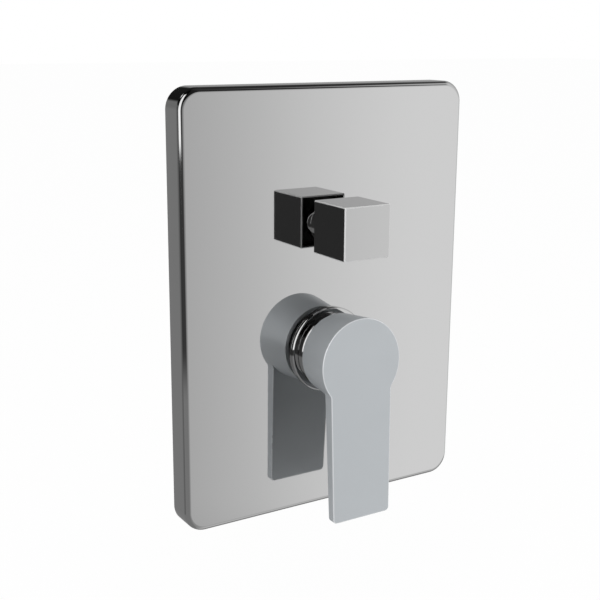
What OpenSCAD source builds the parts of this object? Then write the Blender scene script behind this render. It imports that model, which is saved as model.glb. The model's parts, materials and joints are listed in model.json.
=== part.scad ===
/* [Cover plate] */
// Width of the cover plate
plate_w = 150; // [140:1:170]
// Height of the cover plate
plate_h = 200; // [190:1:220]
// How far the plate's front stands off the finished wall
plate_depth = 13; // [12:0.5:15]
// Thickness of the pressed sheet
plate_wall = 1.2; // [1:0.1:1.5]
// Radius of the plate's four corners
plate_corner_r = 10; // [8:0.5:20]
// Radius of the edge between the plate's front and its sides
plate_edge_r = 2.5; // [1.5:0.1:3]
// Width of the foam strip inside the plate's rim
gasket_w = 4; // [3:0.5:6]
// Thickness of the foam strip
gasket_t = 3; // [2:0.5:4]

/* [Wall and bracket] */
// Distance from the fixing face to the finished wall
wall_depth = 62; // [61:0.5:70]
// Width of the bracket's border outside its wall fixing holes
bracket_border = 8; // [7.5:0.5:12]
// Thickness of the mounting bracket
bracket_t = 3; // [3:0.5:4]
// Radius of the bracket's corners
bracket_corner_r = 6; // [3:0.5:8]
// Distance between the wall fixing holes, across
fixing_x = 76; // [72:1:78]
// Distance between the wall fixing holes, up and down
fixing_z = 88; // [80:1:90]
// Radius of the wall fixing holes
fixing_hole_r = 3.25; // [2.5:0.05:3.5]
// Radius of the bracket screws
bracket_screw_r = 2.5; // [2:0.1:2.7]
// Radius of the bracket screws' heads
screw_head_r = 4.6; // [4.3:0.1:4.9]
// Height of the bracket screws' heads
screw_head_h = 2.5; // [2.2:0.1:2.7]
// Radius across the corners of the bracket screws' sockets
screw_socket_r = 1.7; // [1.4:0.1:1.8]
// Depth of the bracket screws' sockets
screw_socket_h = 1.8; // [1.5:0.1:2.2]
// Length of the bracket screws
bracket_screw_len = 14; // [12:0.5:16]

/* [Valve body] */
// Height of the diverter axis above the plate's centre
knob_rise = 37.5; // [36:0.5:42]
// Depth of the lever axis below the plate's centre
lever_drop = 22.5; // [20:0.5:26]
// Distance of the pipe axes from the fixing face
pipe_f = 31; // [30:0.5:32]
// Outer radius of the pipe arms
arm_r = 14.5; // [13:0.5:15]
// Radius across the corners of the hexagonal pipe ends
port_hex_r = 17.3; // [17:0.1:18]
// Length of the hexagonal pipe ends
port_hex_h = 12; // [8:0.5:16]
// Radius inside the pipe threads
thread_r = 9.3; // [8.5:0.05:9.5]
// Length of the pipe threads
thread_len = 13; // [11:0.5:14]
// Distance from the middle to the end of each inlet
inlet_reach = 50; // [49:0.5:54]
// Distance from the plate's centre to the end of each outlet
outlet_reach = 82; // [80:0.5:90]
// Radius of the water ways in the pipe arms
way_r = 7; // [6:0.1:7.5]
// Radius of the cast channels between the chambers
channel_r = 4.5; // [3.5:0.1:4.8]
// Radius of the bores that cross between the cast channels
cross_r = 5; // [4.9:0.1:5.4]
// Thickness of the wall between hot and cold in the body
hot_cold_wall = 5; // [3:0.5:5]
// Width of the column that joins the two chambers
core_w = 24; // [20:0.5:28]
// Distance of the body's back from the fixing face
body_back_f = 3.5; // [3.5:0.1:4]
// Distance of the two bosses' front from the fixing face
boss_front_f = 58; // [57:0.5:58.5]
// Outer radius of the cartridge boss
cartridge_boss_r = 22; // [20:0.5:24]
// How far the body's neck stands proud of the plate
neck_proud = 1; // [0.8:0.1:1.2]
// Outer radius of the diverter boss
diverter_boss_r = 18; // [17:0.5:20]
// Radius of the pads that the bracket screws go into
pad_r = 6; // [5:0.5:7]
// Distance of the lower bracket screws from the middle
low_pad_x = 31.25; // [28.25:0.5:33.25]
// Distance of the upper bracket screws from the middle
high_pad_x = 22; // [20:1:23]
// Thickness of the body's floor behind the diverter chamber
body_floor_t = 3.5; // [3:0.1:4]
// Wall between the outermost cast channels and the outside
channel_wall = 3.5; // [3:0.1:4]
// How far the column between the chambers lies behind the bosses' front
core_drop = 6; // [5:0.5:7]
// How far the mixed water's channel lies behind the cartridge
mixed_drop = 9; // [8.5:0.1:9.5]
// Distance from the outlets' threads to the turn of their channels
turn_room = 12; // [11:0.5:13]

/* [Cartridge] */
// Outer radius of the cartridge
cartridge_r = 12.5; // [12:0.1:13]
// Length of the cartridge's wide part
cartridge_len = 18; // [17.5:0.5:20]
// Wall of the cartridge's housing
housing_wall = 1.2; // [1:0.1:1.4]
// Thickness of the cartridge's base
base_h = 4; // [3.5:0.1:4.5]
// Thickness of the fixed ceramic disc
fixed_disc_h = 3; // [2.5:0.1:3.2]
// Thickness of the moving ceramic disc
moving_disc_h = 2.5; // [2.2:0.1:2.6]
// Thickness of the carrier of the moving disc
carrier_h = 3.5; // [3.2:0.1:3.6]
// Radius of the moving ceramic disc
moving_disc_r = 7.8; // [7:0.1:8]
// Radius of the openings for water in the cartridge
port_r = 2.8; // [2.2:0.1:3]
// Sideways place of the two supply openings
supply_port_x = 5.5; // [5.3:0.1:5.8]
// Depth of the two supply openings below the cartridge's axis
supply_port_drop = 3; // [2.8:0.1:3.2]
// Height of the mixed water's opening above the cartridge's axis
mixed_port_rise = 6.5; // [6.3:0.1:6.7]
// Width of the rubber rings round the openings
base_seal_w = 1.2; // [1:0.1:1.4]
// Thickness of the rubber rings round the openings
base_seal_t = 1; // [0.8:0.1:1.2]
// Radius of the mixing pocket in the moving disc
pocket_r = 3.8; // [3.6:0.1:4]
// Depth of the mixing pocket
pocket_t = 1.2; // [1:0.1:1.4]
// Height of the mixing pocket above the moving disc's centre
pocket_rise = 1.5; // [1.2:0.1:1.7]
// Radius of the carrier of the moving disc
carrier_r = 8.2; // [8.1:0.1:8.4]
// Distance from the middle to the lugs that turn the carrier
lug_x = 8; // [7.8:0.1:8.2]
// Width of the lugs that turn the carrier
lug_w = 6; // [4:0.5:7]
// Length of the cartridge's neck
housing_neck_h = 9; // [8:0.5:9.5]
// Outer radius of the cartridge's neck
housing_neck_r = 9; // [8.6:0.1:9.1]
// Radius of the turning guide that holds the spindle
guide_r = 6.8; // [6.4:0.1:7]
// How far the turning guide stands proud of its housing
guide_proud = 1; // [0.8:0.1:1.2]
// Room round the rim of the turning guide
guide_rim_gap = 0.7; // [0.5:0.1:0.9]
// Thickness of the housing's shoulder in front of the guide's rim
shoulder_t = 1.5; // [1.2:0.1:1.8]
// How far the guide's slot reaches below the spindle's axis
slot_down = 5.4; // [5.2:0.1:5.6]
// How far the guide's slot reaches above the spindle's axis
slot_up = 4; // [3.8:0.1:4.4]
// Height of the retaining nut
nut_h = 5; // [4:0.5:6]
// Outer radius of the retaining nut
nut_r = 14.3; // [14:0.1:14.5]
// Width of the four notches that the nut is turned by
notch_w = 3; // [2:0.5:4]
// Depth of the notches from the nut's front
notch_h = 2.5; // [2:0.1:3]
// How far the notches reach in from the nut's rim
notch_in = 2; // [1.5:0.1:2.2]
// Radius of the pin that the spindle tilts on
pivot_pin_r = 1.5; // [1.2:0.1:1.6]
// Width of the spindle's square end
spindle_w = 6; // [5.5:0.1:6.5]
// Width of the spindle's flat shank, across the pivot
shank_w = 4.3; // [4:0.1:4.5]
// Height of the spindle's flat shank
shank_h = 4.8; // [4.6:0.1:5]
// Radius of the spindle's stem between the pivot and the ball
stem_r = 1.6; // [1.4:0.1:1.8]
// Radius of the ball on the spindle's inner end
ball_r = 2.2; // [2:0.1:2.3]

/* [Lever] */
// Angle by which the lever lifts, its ball sliding the disc from one side of rest to the other
lift_max = 15; // [12:0.5:16]
// How far the lever's face stands off the plate, on the lever's axis
lever_reach = 28.2; // [27:0.2:30]
// Radius of the lever's round face
lever_r = 21; // [20.5:0.1:22]
// Radius of the lever's round body at its back
lever_back_r = 18.8; // [18.6:0.1:19.6]
// Gap between the lever's back and the plate
lever_gap = 7.6; // [7.4:0.1:9]
// Wall of the lever's hollow body
lever_wall = 1.8; // [1.5:0.1:1.9]
// Thickness of the lever's front
lever_front_t = 4; // [3.5:0.1:5]
// Lean of the lever's face, its lower end away from the plate
lever_lean = 1.8; // [0.5:0.1:3]
// Distance from the lever's axis to the end of its blade
blade_len = 74; // [60:0.5:80]
// Width of the blade where it leaves the round body
blade_top_w = 32.6; // [28:0.2:34]
// Width of the blade at its end
blade_end_w = 31; // [26:0.2:32]
// Thickness of the blade where it leaves the round body
blade_top_t = 5.8; // [5:0.1:7]
// Thickness of the blade at its end
blade_end_t = 4.2; // [3:0.1:5]
// Radius of the blade's two end corners
blade_corner_r = 2; // [1:0.1:4]
// Radius of the hollow fillets between the blade and the round body
blade_neck_r = 4; // [3:0.5:9]
// Radius of the hub inside the lever
hub_r = 8.5; // [8:0.1:9]
// Gap between the plate and the hub
hub_gap = 11; // [11:0.1:12]
// How far the spindle stands off the plate
spindle_reach = 20.5; // [19:0.1:21]
// Distance of the spindle's pivot from the plate's face
pivot_reach = 1.5; // [1:0.1:2]
// Radius of the lever's grub screw
lever_screw_r = 2.45; // [2:0.05:2.5]
// Length of the two grub screws
grub_len = 6; // [5:0.5:6.5]
// Depth of the sockets in the grub screws
grub_socket_h = 2.5; // [2:0.1:3]
// Radius across the corners of the lever screw's socket
lever_socket_r = 1.3; // [1.1:0.1:1.5]
// Radius of the plug that covers the grub screw
plug_r = 2.9; // [2.8:0.1:3.2]
// Length of the plug
plug_len = 1.8; // [1.4:0.1:2]
// How far the plug lies inside the lever's surface
plug_sink = 0.4; // [0.3:0.05:0.6]

/* [Lever sleeve] */
// Outer radius of the sleeve
sleeve_r = 17.5; // [17.3:0.05:17.6]
// Wall of the sleeve
sleeve_wall = 1.4; // [1.2:0.1:1.6]
// How far the sleeve stands off the plate
sleeve_reach = 6; // [5.5:0.1:6.3]
// Length of the sleeve
sleeve_len = 18; // [16:0.5:20]
// Radius of the opening in the sleeve's front
sleeve_mouth_r = 11.5; // [11:0.1:12]
// Outer radius of the ring that holds the plate
ring_r = 20.3; // [20:0.1:21]
// Height of the ring that holds the plate
ring_h = 1.8; // [1.5:0.1:1.9]
// Bevel on the ring's and the sleeve's front edges
ring_bevel = 0.5; // [0.3:0.1:0.6]
// Width of the metal on each side of the ring's rubber seal
ring_rim = 0.8; // [0.6:0.05:0.9]
// Thickness of the ring's rubber seal
ring_seal_t = 0.8; // [0.6:0.1:1]
// Distance of the sleeve seal's groove from the front of the neck
sleeve_seal_back = 12; // [9:0.5:12]
// Width of the seal inside the sleeve
sleeve_seal_w = 2; // [1.6:0.1:2.2]
// Depth of the sleeve seal in its groove
sleeve_seal_in = 0.9; // [0.7:0.05:1]

/* [Diverter] */
// Width and height of the knob
knob_w = 24; // [22:0.5:26]
// Depth of the knob
knob_d = 25.2; // [24:0.2:27]
// Gap between the knob and the plate
knob_gap = 5.3; // [5:0.1:6]
// Radius of the knob's edges
knob_edge_r = 0.5; // [0.3:0.1:1]
// Radius of the knob's neck
knob_neck_r = 4; // [3.8:0.1:4.5]
// Thickness of the knob's solid front, before the hole for the rod
knob_solid_t = 9.8; // [8:0.2:11]
// Distance of the knob's grub screw from its back
knob_screw_in = 7.5; // [6:0.5:9]
// Radius of the knob's grub screw
knob_screw_r = 2; // [1.6:0.1:2.2]
// Radius across the corners of the knob screw's socket
knob_socket_r = 1.1; // [0.9:0.1:1.3]
// How far the knob pulls out
knob_travel = 7; // [6:0.1:7.1]
// Radius of the round collar behind the knob
collar_r = 10.2; // [10:0.1:11]
// Height of the collar on the plate
collar_h = 3.8; // [3:0.1:4]
// Radius of the collar's skirt
collar_skirt_r = 8.7; // [8.6:0.05:8.9]
// Length of the collar's skirt behind the plate's face
collar_skirt_h = 9; // [8:0.5:10]
// Thickness of the collar's front wall
collar_wall = 2.2; // [2:0.1:2.4]
// Width of the metal outside the collar's rubber seal
collar_rim = 0.4; // [0.3:0.05:0.5]
// Thickness of the collar's rubber seal
collar_seal_t = 0.6; // [0.5:0.05:0.8]
// Radius of the diverter's rod
rod_r = 3; // [2.8:0.05:3.2]
// Height of the rod's round section that its flat takes away
rod_flat = 0.5; // [0.3:0.1:0.8]
// Radius of the rod's flange behind the spring
rod_flange_r = 8.5; // [8:0.1:8.8]
// Thickness of the rod's flange
rod_flange_t = 2; // [1.8:0.1:2.2]
// Radius of the rod's collar in front of the rear washer
rod_collar_r = 5; // [4.6:0.1:5.4]
// Thickness of the rod's collar
rod_collar_t = 1.5; // [1.2:0.1:1.8]
// Radius across the corners of the nut on the rod
rod_nut_r = 5.2; // [4.8:0.1:5.6]
// Height of the nut on the rod
rod_nut_h = 1.8; // [1.6:0.1:2]
// Radius of the diverter chamber
chamber_r = 13; // [12.8:0.1:13.2]
// Wall of the cage inside the chamber
cage_wall = 1.9; // [1.7:0.1:2.1]
// Width of the cage's rims beside its windows
cage_rim = 1.5; // [1.3:0.1:1.8]
// Depth of the grooves for the cage's seals
cage_groove = 0.9; // [0.7:0.05:1]
// Width of the rims beside the cage's seals
cage_seal_rim = 0.5; // [0.4:0.05:0.6]
// Radius of the holes in the two valve seats
seat_r = 7.5; // [7:0.1:7.8]
// Thickness of the valve seats
seat_t = 3; // [2.5:0.1:3.2]
// Radius of the two rubber washers
washer_r = 9.3; // [9:0.1:9.6]
// Thickness of the rear rubber washer
rear_washer_t = 2.5; // [2.2:0.1:2.6]
// Thickness of the front rubber washer
front_washer_t = 2.9; // [2.6:0.1:3]
// Distance between the two valve seats
seat_gap = 10; // [9.5:0.1:10.2]
// Outer radius of the bonnet where it screws in
bonnet_r = 14.5; // [14.2:0.1:14.8]
// Radius across the corners of the bonnet's hexagon
bonnet_hex_r = 17.3; // [17:0.1:17.8]
// Height of the bonnet's hexagon
bonnet_hex_h = 5; // [4:0.2:5.4]
// Radius of the bonnet's neck
bonnet_neck_r = 7.5; // [7.2:0.1:7.5]
// Thickness of the seal under the bonnet's hexagon
bonnet_seal_t = 1.2; // [1:0.1:1.4]
// Width of the seal under the bonnet's hexagon
bonnet_seal_w = 1.6; // [1.4:0.1:1.8]
// Depth of the spring's pocket in the bonnet
spring_pocket_h = 6.5; // [6:0.1:7]
// Thickness of the wall between the spring's pocket and the rod's seal
gland_wall = 1.5; // [1.2:0.1:1.8]
// Length of the rod's seal groove
gland_h = 2.2; // [2:0.1:2.4]
// Depth of the rod's seal groove
gland_w = 1.4; // [1.2:0.1:1.5]
// How far the bonnet's front lies behind the plate's face
bonnet_drop = 2; // [1.5:0.1:2.5]
// Length of the bonnet's guide for the rod's flat
guide_flat_h = 5; // [4:0.5:6]

/* [Return spring] */
// Thickness of the spring's wire
wire_d = 0.9; // [0.7:0.1:1]
// Mean radius of the spring
spring_r = 5; // [4.8:0.1:5.2]
// Curls of the spring
spring_curls = 6; // [4:1:7]
// Room round the spring in its pocket
spring_side_gap = 1.05; // [0.8:0.05:1.2]

/* [Inlet pieces] */
// Length of the check valves
check_len = 12; // [10:0.5:13]
// Radius of the four water holes in each check valve
check_hole_r = 1.7; // [1.4:0.1:1.8]
// Distance of those holes from the valve's axis
check_hole_ring = 3.5; // [3.2:0.1:3.8]
// Length of the inlet filters
filter_len = 2.2; // [2:0.1:2.4]
// Radius of the eight water holes in each filter
filter_hole_r = 1; // [0.7:0.1:1.1]
// Distance of those holes from the filter's axis
filter_hole_ring = 4.3; // [4:0.1:4.6]

/* [Fits] */
// Clearance round pieces that stand still in their seats
seat_gap_r = 0.1; // [0.08:0.01:0.15]
// Running clearance round pieces that turn or slide
run_gap = 0.05; // [0.03:0.01:0.08]
// Free gap between faces that move past each other
free_gap = 0.3; // [0.25:0.05:0.4]

/* [Hidden] */
$fn = 96;
eps = 0.01;
over = 1;

// Every depth here is measured forward from the fixing face, away from the wall.
face_f = wall_depth + plate_depth;
lever_z = -lever_drop;
knob_z = knob_rise;

// Cartridge, from its nut backwards to the chamber's floor and forward again
neck_front_f = face_f + neck_proud;
nut_back_f = neck_front_f - nut_h;
chamber_f = nut_back_f - cartridge_len;
base_front_f = chamber_f + base_h;
fixed_front_f = base_front_f + fixed_disc_h;
moving_front_f = fixed_front_f + moving_disc_h;
carrier_front_f = moving_front_f + carrier_h;
housing_front_in_f = nut_back_f - shoulder_t;
housing_in_r = cartridge_r - housing_wall;
housing_neck_front_f = nut_back_f + housing_neck_h;
guide_back_f = carrier_front_f + 2 * free_gap;
guide_front_f = housing_neck_front_f + guide_proud;
guide_rim_r = housing_in_r - guide_rim_gap;
pivot_f = face_f + pivot_reach;
ball_f = moving_front_f + ball_r + free_gap;
spindle_arm = pivot_f - ball_f;
disc_rest = spindle_arm * lift_max * PI / 360;
neck_r = sleeve_r - sleeve_wall - seat_gap_r;
supply_ports = [[-supply_port_x, -supply_port_drop], [supply_port_x, -supply_port_drop]];
mixed_port = [0, mixed_port_rise];
water_ports = concat(supply_ports, [mixed_port]);
base_seal_in_r = port_r + 2 * seat_gap_r;
base_seal_out_r = base_seal_in_r + base_seal_w;
sleeve_groove_f = neck_front_f - sleeve_seal_back;

// Lever
lever_back_f = face_f + lever_gap;
lever_front_f = face_f + lever_reach;
lever_spread = (lever_r - lever_back_r) / (lever_front_f - lever_back_f);
hub_back_f = face_f + hub_gap;
spindle_front_f = face_f + spindle_reach;
socket_front_f = spindle_front_f + free_gap;
cavity_front_f = lever_front_f - lever_front_t;
lever_screw_f = (hub_back_f + spindle_front_f) / 2;
skirt_r = lever_back_r + lever_spread * (lever_screw_f - lever_back_f);
lean = tan(lever_lean);
blade_back_f = lever_front_f - blade_top_t;
blade_back_lean = lean + (blade_top_t - blade_end_t) / blade_len;

// Diverter, from the chamber's floor forward
floor_f = body_back_f + body_floor_t;
rod_back_f = floor_f + 2 * free_gap;
rear_washer_f = rod_back_f + rod_nut_h;
rear_seat_f = rear_washer_f + rear_washer_t + knob_travel + seat_gap_r;
mid_zone_f = rear_seat_f + seat_t;
front_seat_f = mid_zone_f + seat_gap;
front_zone_f = front_seat_f + seat_t;
rod_flange_f = front_zone_f + front_washer_t + seat_gap_r;
cage_front_f = rod_flange_f + rod_flange_t + knob_travel + free_gap + seat_gap_r;
spring_end_f = cage_front_f + spring_pocket_h;
gland_f = spring_end_f + gland_wall;
hex_back_f = boss_front_f + bonnet_seal_t;
bonnet_front_f = face_f - bonnet_drop;
guide_flat_f = bonnet_front_f - guide_flat_h;
rod_flat_f = guide_flat_f - knob_travel - free_gap;
cage_r = chamber_r - seat_gap_r;
collar_front_f = face_f + collar_h;
knob_back_f = face_f + knob_gap;
knob_front_f = knob_back_f + knob_d;
knob_hole_f = knob_front_f - knob_solid_t;
rod_front_f = knob_hole_f - free_gap;
knob_screw_f = knob_back_f + knob_screw_in;

// Water ways cast into the body
mixed_f = chamber_f - mixed_drop;
mixed_turn_z = (lever_z + knob_z) / 2;
supply_way_f = (mid_zone_f + front_seat_f) / 2;
core_front_f = boss_front_f - core_drop;
core_margin = cross_r + channel_wall;
bath_way_f = (floor_f + rear_seat_f) / 2;
bath_turn_z = -outlet_reach + thread_len + turn_room;
shower_way_f = (front_zone_f + cage_front_f) / 2;
shower_turn_z = outlet_reach - thread_len - turn_room;
pads = [[-low_pad_x, lever_z], [low_pad_x, lever_z], [-high_pad_x, knob_z], [high_pad_x, knob_z]];
pad_front_f = pipe_f - arm_r / 2;

// Bracket and the heads sunk into it
bracket_w = fixing_x + 2 * bracket_border;
bracket_h = fixing_z + 2 * bracket_border;
head_front_f = seat_gap_r + screw_head_h;

module stack(f0, x = 0, z = 0) {
  translate([x, -f0, z]) rotate([90, 0, 0]) children();
}

module disc(r, f0, f1, x = 0, z = 0) {
  stack(f0, x, z) cylinder(r = r, h = f1 - f0);
}

module ring(ro, ri, f0, f1, x = 0, z = 0) {
  stack(f0, x, z) difference() {
    cylinder(r = ro, h = f1 - f0);
    translate([0, 0, -over]) cylinder(r = ri, h = f1 - f0 + 2 * over);
  }
}

module cone(r0, r1, f0, f1, x = 0, z = 0) {
  stack(f0, x, z) cylinder(r1 = r0, r2 = r1, h = f1 - f0);
}

module hexagon(r, f0, f1, x = 0, z = 0) {
  stack(f0, x, z) cylinder(r = r, h = f1 - f0, $fn = 6);
}

module across(r, x0, x1, f, z) {
  translate([x0, -f, z]) rotate([0, 90, 0]) cylinder(r = r, h = x1 - x0);
}

module upright(r, z0, z1, f, x = 0) {
  translate([x, -f, z0]) cylinder(r = r, h = z1 - z0);
}

module rounded_outline(w, h, r) {
  square([w - 2 * r, h], center = true);
  square([w, h - 2 * r], center = true);
  for (x = [-1, 1], z = [-1, 1])
    translate([x * (w / 2 - r), z * (h / 2 - r)]) circle(r = r);
}

// A slab whose corners and front edge are both rounded
module pressed_slab(w, h, f0, f1, corner, edge) {
  stack(f0) hull() {
    for (x = [-1, 1], z = [-1, 1])
      translate([x * (w / 2 - corner), z * (h / 2 - corner), 0]) {
        cylinder(r = corner, h = f1 - f0 - edge, $fn = 64);
        translate([0, 0, f1 - f0 - edge]) rotate_extrude($fn = 64) intersection() {
          translate([corner - edge, 0]) circle(r = edge, $fn = 32);
          square([corner, edge]);
        }
      }
  }
}

// Cover plate

module cover_plate() {
  inner_edge = max(plate_edge_r - plate_wall, 0.2);
  hole_gap = 2 * seat_gap_r;
  color("silver") difference() {
    pressed_slab(plate_w, plate_h, wall_depth, face_f, plate_corner_r, plate_edge_r);
    translate([0, over, 0])
      pressed_slab(plate_w - 2 * plate_wall, plate_h - 2 * plate_wall, wall_depth,
        face_f - plate_wall + over, plate_corner_r - plate_wall, inner_edge);
    disc(sleeve_r + hole_gap, wall_depth, face_f + over, z = lever_z);
    disc(collar_skirt_r + hole_gap, wall_depth, face_f + over, z = knob_z);
  }
}

module plate_gasket() {
  w = plate_w - 2 * plate_wall - 2 * seat_gap_r;
  h = plate_h - 2 * plate_wall - 2 * seat_gap_r;
  r = plate_corner_r - plate_wall - seat_gap_r;
  color("dimgray") stack(wall_depth) linear_extrude(gasket_t) difference() {
    rounded_outline(w, h, r);
    rounded_outline(w - 2 * gasket_w, h - 2 * gasket_w, r - gasket_w);
  }
}

// Bracket and valve body

module mounting_bracket() {
  color("lightgray") difference() {
    stack(0) linear_extrude(bracket_t) rounded_outline(bracket_w, bracket_h, bracket_corner_r);
    for (x = [-1, 1], z = [-1, 1])
      disc(fixing_hole_r, -over, bracket_t + over, x * fixing_x / 2, z * fixing_z / 2);
    for (p = pads) {
      disc(bracket_screw_r + seat_gap_r, -over, bracket_t + over, p[0], p[1]);
      cone(screw_head_r + free_gap, bracket_screw_r, -eps, head_front_f, p[0], p[1]);
    }
  }
}

module bracket_screws() {
  color("gray") for (p = pads) difference() {
    union() {
      cone(screw_head_r, bracket_screw_r - run_gap, seat_gap_r, head_front_f, p[0], p[1]);
      disc(bracket_screw_r - run_gap, head_front_f - eps, bracket_screw_len, p[0], p[1]);
    }
    hexagon(screw_socket_r, -over, screw_socket_h, p[0], p[1]);
  }
}

module body_solids() {
  disc(cartridge_boss_r, body_back_f, boss_front_f, z = lever_z);
  disc(neck_r, boss_front_f - eps, neck_front_f, z = lever_z);
  disc(diverter_boss_r, body_back_f, boss_front_f, z = knob_z);
  translate([-core_w / 2, -core_front_f, bath_turn_z - core_margin])
    cube([core_w, core_front_f - body_back_f, shower_turn_z - bath_turn_z + 2 * core_margin]);
  across(arm_r, -inlet_reach + eps, inlet_reach - eps, pipe_f, lever_z);
  upright(arm_r, -outlet_reach + eps, outlet_reach - eps, pipe_f);
  for (s = [-1, 1]) {
    translate([s * (inlet_reach - port_hex_h / 2), -pipe_f, lever_z]) rotate([0, 90, 0])
      cylinder(r = port_hex_r, h = port_hex_h, center = true, $fn = 6);
    translate([0, -pipe_f, s * (outlet_reach - port_hex_h / 2)])
      cylinder(r = port_hex_r, h = port_hex_h, center = true, $fn = 6);
  }
  for (p = pads) disc(pad_r, bracket_t, pad_front_f, p[0], p[1]);
}

module cartridge_ways() {
  disc(cartridge_r + seat_gap_r, chamber_f, neck_front_f + over, z = lever_z);
  disc(nut_r + seat_gap_r, nut_back_f, neck_front_f + over, z = lever_z);
  for (p = supply_ports) disc(port_r, pipe_f, chamber_f + eps, p[0], lever_z + p[1]);
  disc(port_r, mixed_f, chamber_f + eps, mixed_port[0], lever_z + mixed_port[1]);
  for (s = [-1, 1]) {
    across(way_r, s > 0 ? hot_cold_wall / 2 : -inlet_reach, s > 0 ? inlet_reach : -hot_cold_wall / 2,
      pipe_f, lever_z);
    across(thread_r, s > 0 ? inlet_reach - thread_len : -inlet_reach - over,
      s > 0 ? inlet_reach + over : -inlet_reach + thread_len, pipe_f, lever_z);
  }
  upright(channel_r, lever_z + mixed_port[1] - port_r - free_gap, mixed_turn_z, mixed_f);
  disc(cross_r, supply_way_f - cross_r, mixed_f + cross_r, z = mixed_turn_z);
  upright(channel_r, mixed_turn_z, knob_z, supply_way_f);
}

module diverter_ways() {
  disc(chamber_r, floor_f, cage_front_f + eps, z = knob_z);
  disc(bonnet_r + seat_gap_r, cage_front_f, boss_front_f + over, z = knob_z);
  upright(channel_r, bath_turn_z, knob_z, bath_way_f);
  disc(cross_r, bath_way_f - cross_r, pipe_f, z = bath_turn_z);
  upright(way_r, -outlet_reach, bath_turn_z, pipe_f);
  upright(thread_r, -outlet_reach - over, -outlet_reach + thread_len, pipe_f);
  upright(channel_r, knob_z, shower_turn_z, shower_way_f);
  disc(cross_r, pipe_f, shower_way_f + cross_r, z = shower_turn_z);
  upright(way_r, shower_turn_z, outlet_reach, pipe_f);
  upright(thread_r, outlet_reach - thread_len, outlet_reach + over, pipe_f);
}

module valve_body() {
  color("goldenrod") difference() {
    body_solids();
    cartridge_ways();
    diverter_ways();
    for (p = pads) disc(bracket_screw_r, bracket_t - over, bracket_screw_len + over, p[0], p[1]);
    ring(neck_r + over, neck_r - sleeve_seal_in - run_gap, sleeve_groove_f,
      sleeve_groove_f + sleeve_seal_w + 2 * seat_gap_r, z = lever_z);
  }
}

// Inlet pieces

// A plug with a ring of water holes, the same in both inlets
module inlet_insert(outer_end, len, hole_r, hole_ring, holes) {
  for (a = [0, 180]) translate([0, -pipe_f, lever_z]) rotate([0, a, 0]) difference() {
    across(way_r - seat_gap_r, outer_end - len, outer_end, 0, 0);
    for (i = [0 : holes - 1])
      rotate([i * 360 / holes, 0, 0])
        across(hole_r, outer_end - len - over, outer_end + over, hole_ring, 0);
  }
}

module check_valves() {
  color("white") inlet_insert(inlet_reach - thread_len - filter_len - 2 * free_gap, check_len,
    check_hole_r, check_hole_ring, 4);
}

module inlet_filters() {
  color("lightsteelblue") inlet_insert(inlet_reach - thread_len - free_gap, filter_len,
    filter_hole_r, filter_hole_ring, 8);
}

// Cartridge

module cartridge_housing() {
  color("whitesmoke") difference() {
    union() {
      disc(cartridge_r, base_front_f, nut_back_f, z = lever_z);
      disc(housing_neck_r, nut_back_f - eps, housing_neck_front_f, z = lever_z);
    }
    disc(housing_in_r, base_front_f - over, housing_front_in_f, z = lever_z);
    disc(guide_r + run_gap, housing_front_in_f - eps, housing_neck_front_f + over, z = lever_z);
  }
}

module cartridge_base() {
  color("dimgray") difference() {
    disc(cartridge_r, chamber_f, base_front_f, z = lever_z);
    for (p = water_ports) {
      disc(port_r, chamber_f - over, base_front_f + over, p[0], lever_z + p[1]);
      disc(base_seal_out_r + seat_gap_r, chamber_f - over, chamber_f + base_seal_t, p[0], lever_z + p[1]);
    }
  }
}

module base_seals() {
  color("black") for (p = water_ports)
    ring(base_seal_out_r, base_seal_in_r, chamber_f, chamber_f + base_seal_t, p[0], lever_z + p[1]);
}

module fixed_disc() {
  color("white") difference() {
    disc(housing_in_r - seat_gap_r, base_front_f, fixed_front_f, z = lever_z);
    for (p = water_ports)
      disc(port_r, base_front_f - over, fixed_front_f + over, p[0], lever_z + p[1]);
  }
}

module moving_disc() {
  color("ivory") difference() {
    disc(moving_disc_r, fixed_front_f, moving_front_f, z = lever_z + disc_rest);
    disc(pocket_r, fixed_front_f - over, fixed_front_f + pocket_t, z = lever_z + disc_rest + pocket_rise);
  }
}

module disc_carrier() {
  slot = ball_r + 3 * run_gap;
  flat_x = lug_x - free_gap;
  color("orange") difference() {
    intersection() {
      disc(carrier_r, moving_front_f, carrier_front_f, z = lever_z + disc_rest);
      translate([-flat_x, -carrier_front_f, lever_z - cartridge_r])
        cube([2 * flat_x, carrier_h, 2 * cartridge_r]);
    }
    translate([-slot, -carrier_front_f - over, lever_z - slot])
      cube([2 * slot, carrier_h + 2 * over, 2 * slot]);
  }
}

module spindle_guide() {
  slot_w = shank_w + 2 * run_gap;
  lug_back_f = moving_front_f + 2 * free_gap;
  color("steelblue") difference() {
    union() {
      disc(guide_rim_r, guide_back_f, housing_front_in_f - free_gap, z = lever_z);
      disc(guide_r, guide_back_f, guide_front_f, z = lever_z);
      intersection() {
        disc(guide_rim_r, lug_back_f, guide_back_f + eps, z = lever_z);
        for (s = [0, 180]) translate([0, 0, lever_z]) rotate([0, s, 0])
          translate([lug_x, -guide_back_f - over, -lug_w / 2])
            cube([guide_rim_r, guide_back_f + over - lug_back_f + over, lug_w]);
      }
    }
    translate([-slot_w / 2, -guide_front_f - over, lever_z - slot_down])
      cube([slot_w, guide_front_f - guide_back_f + 2 * over, slot_down + slot_up]);
    across(pivot_pin_r, -guide_r - over, guide_r + over, pivot_f, lever_z);
  }
}

module pivot_pin() {
  pin_end = guide_r - free_gap;
  color("gray") across(pivot_pin_r, -pin_end, pin_end, pivot_f, lever_z);
}

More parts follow.
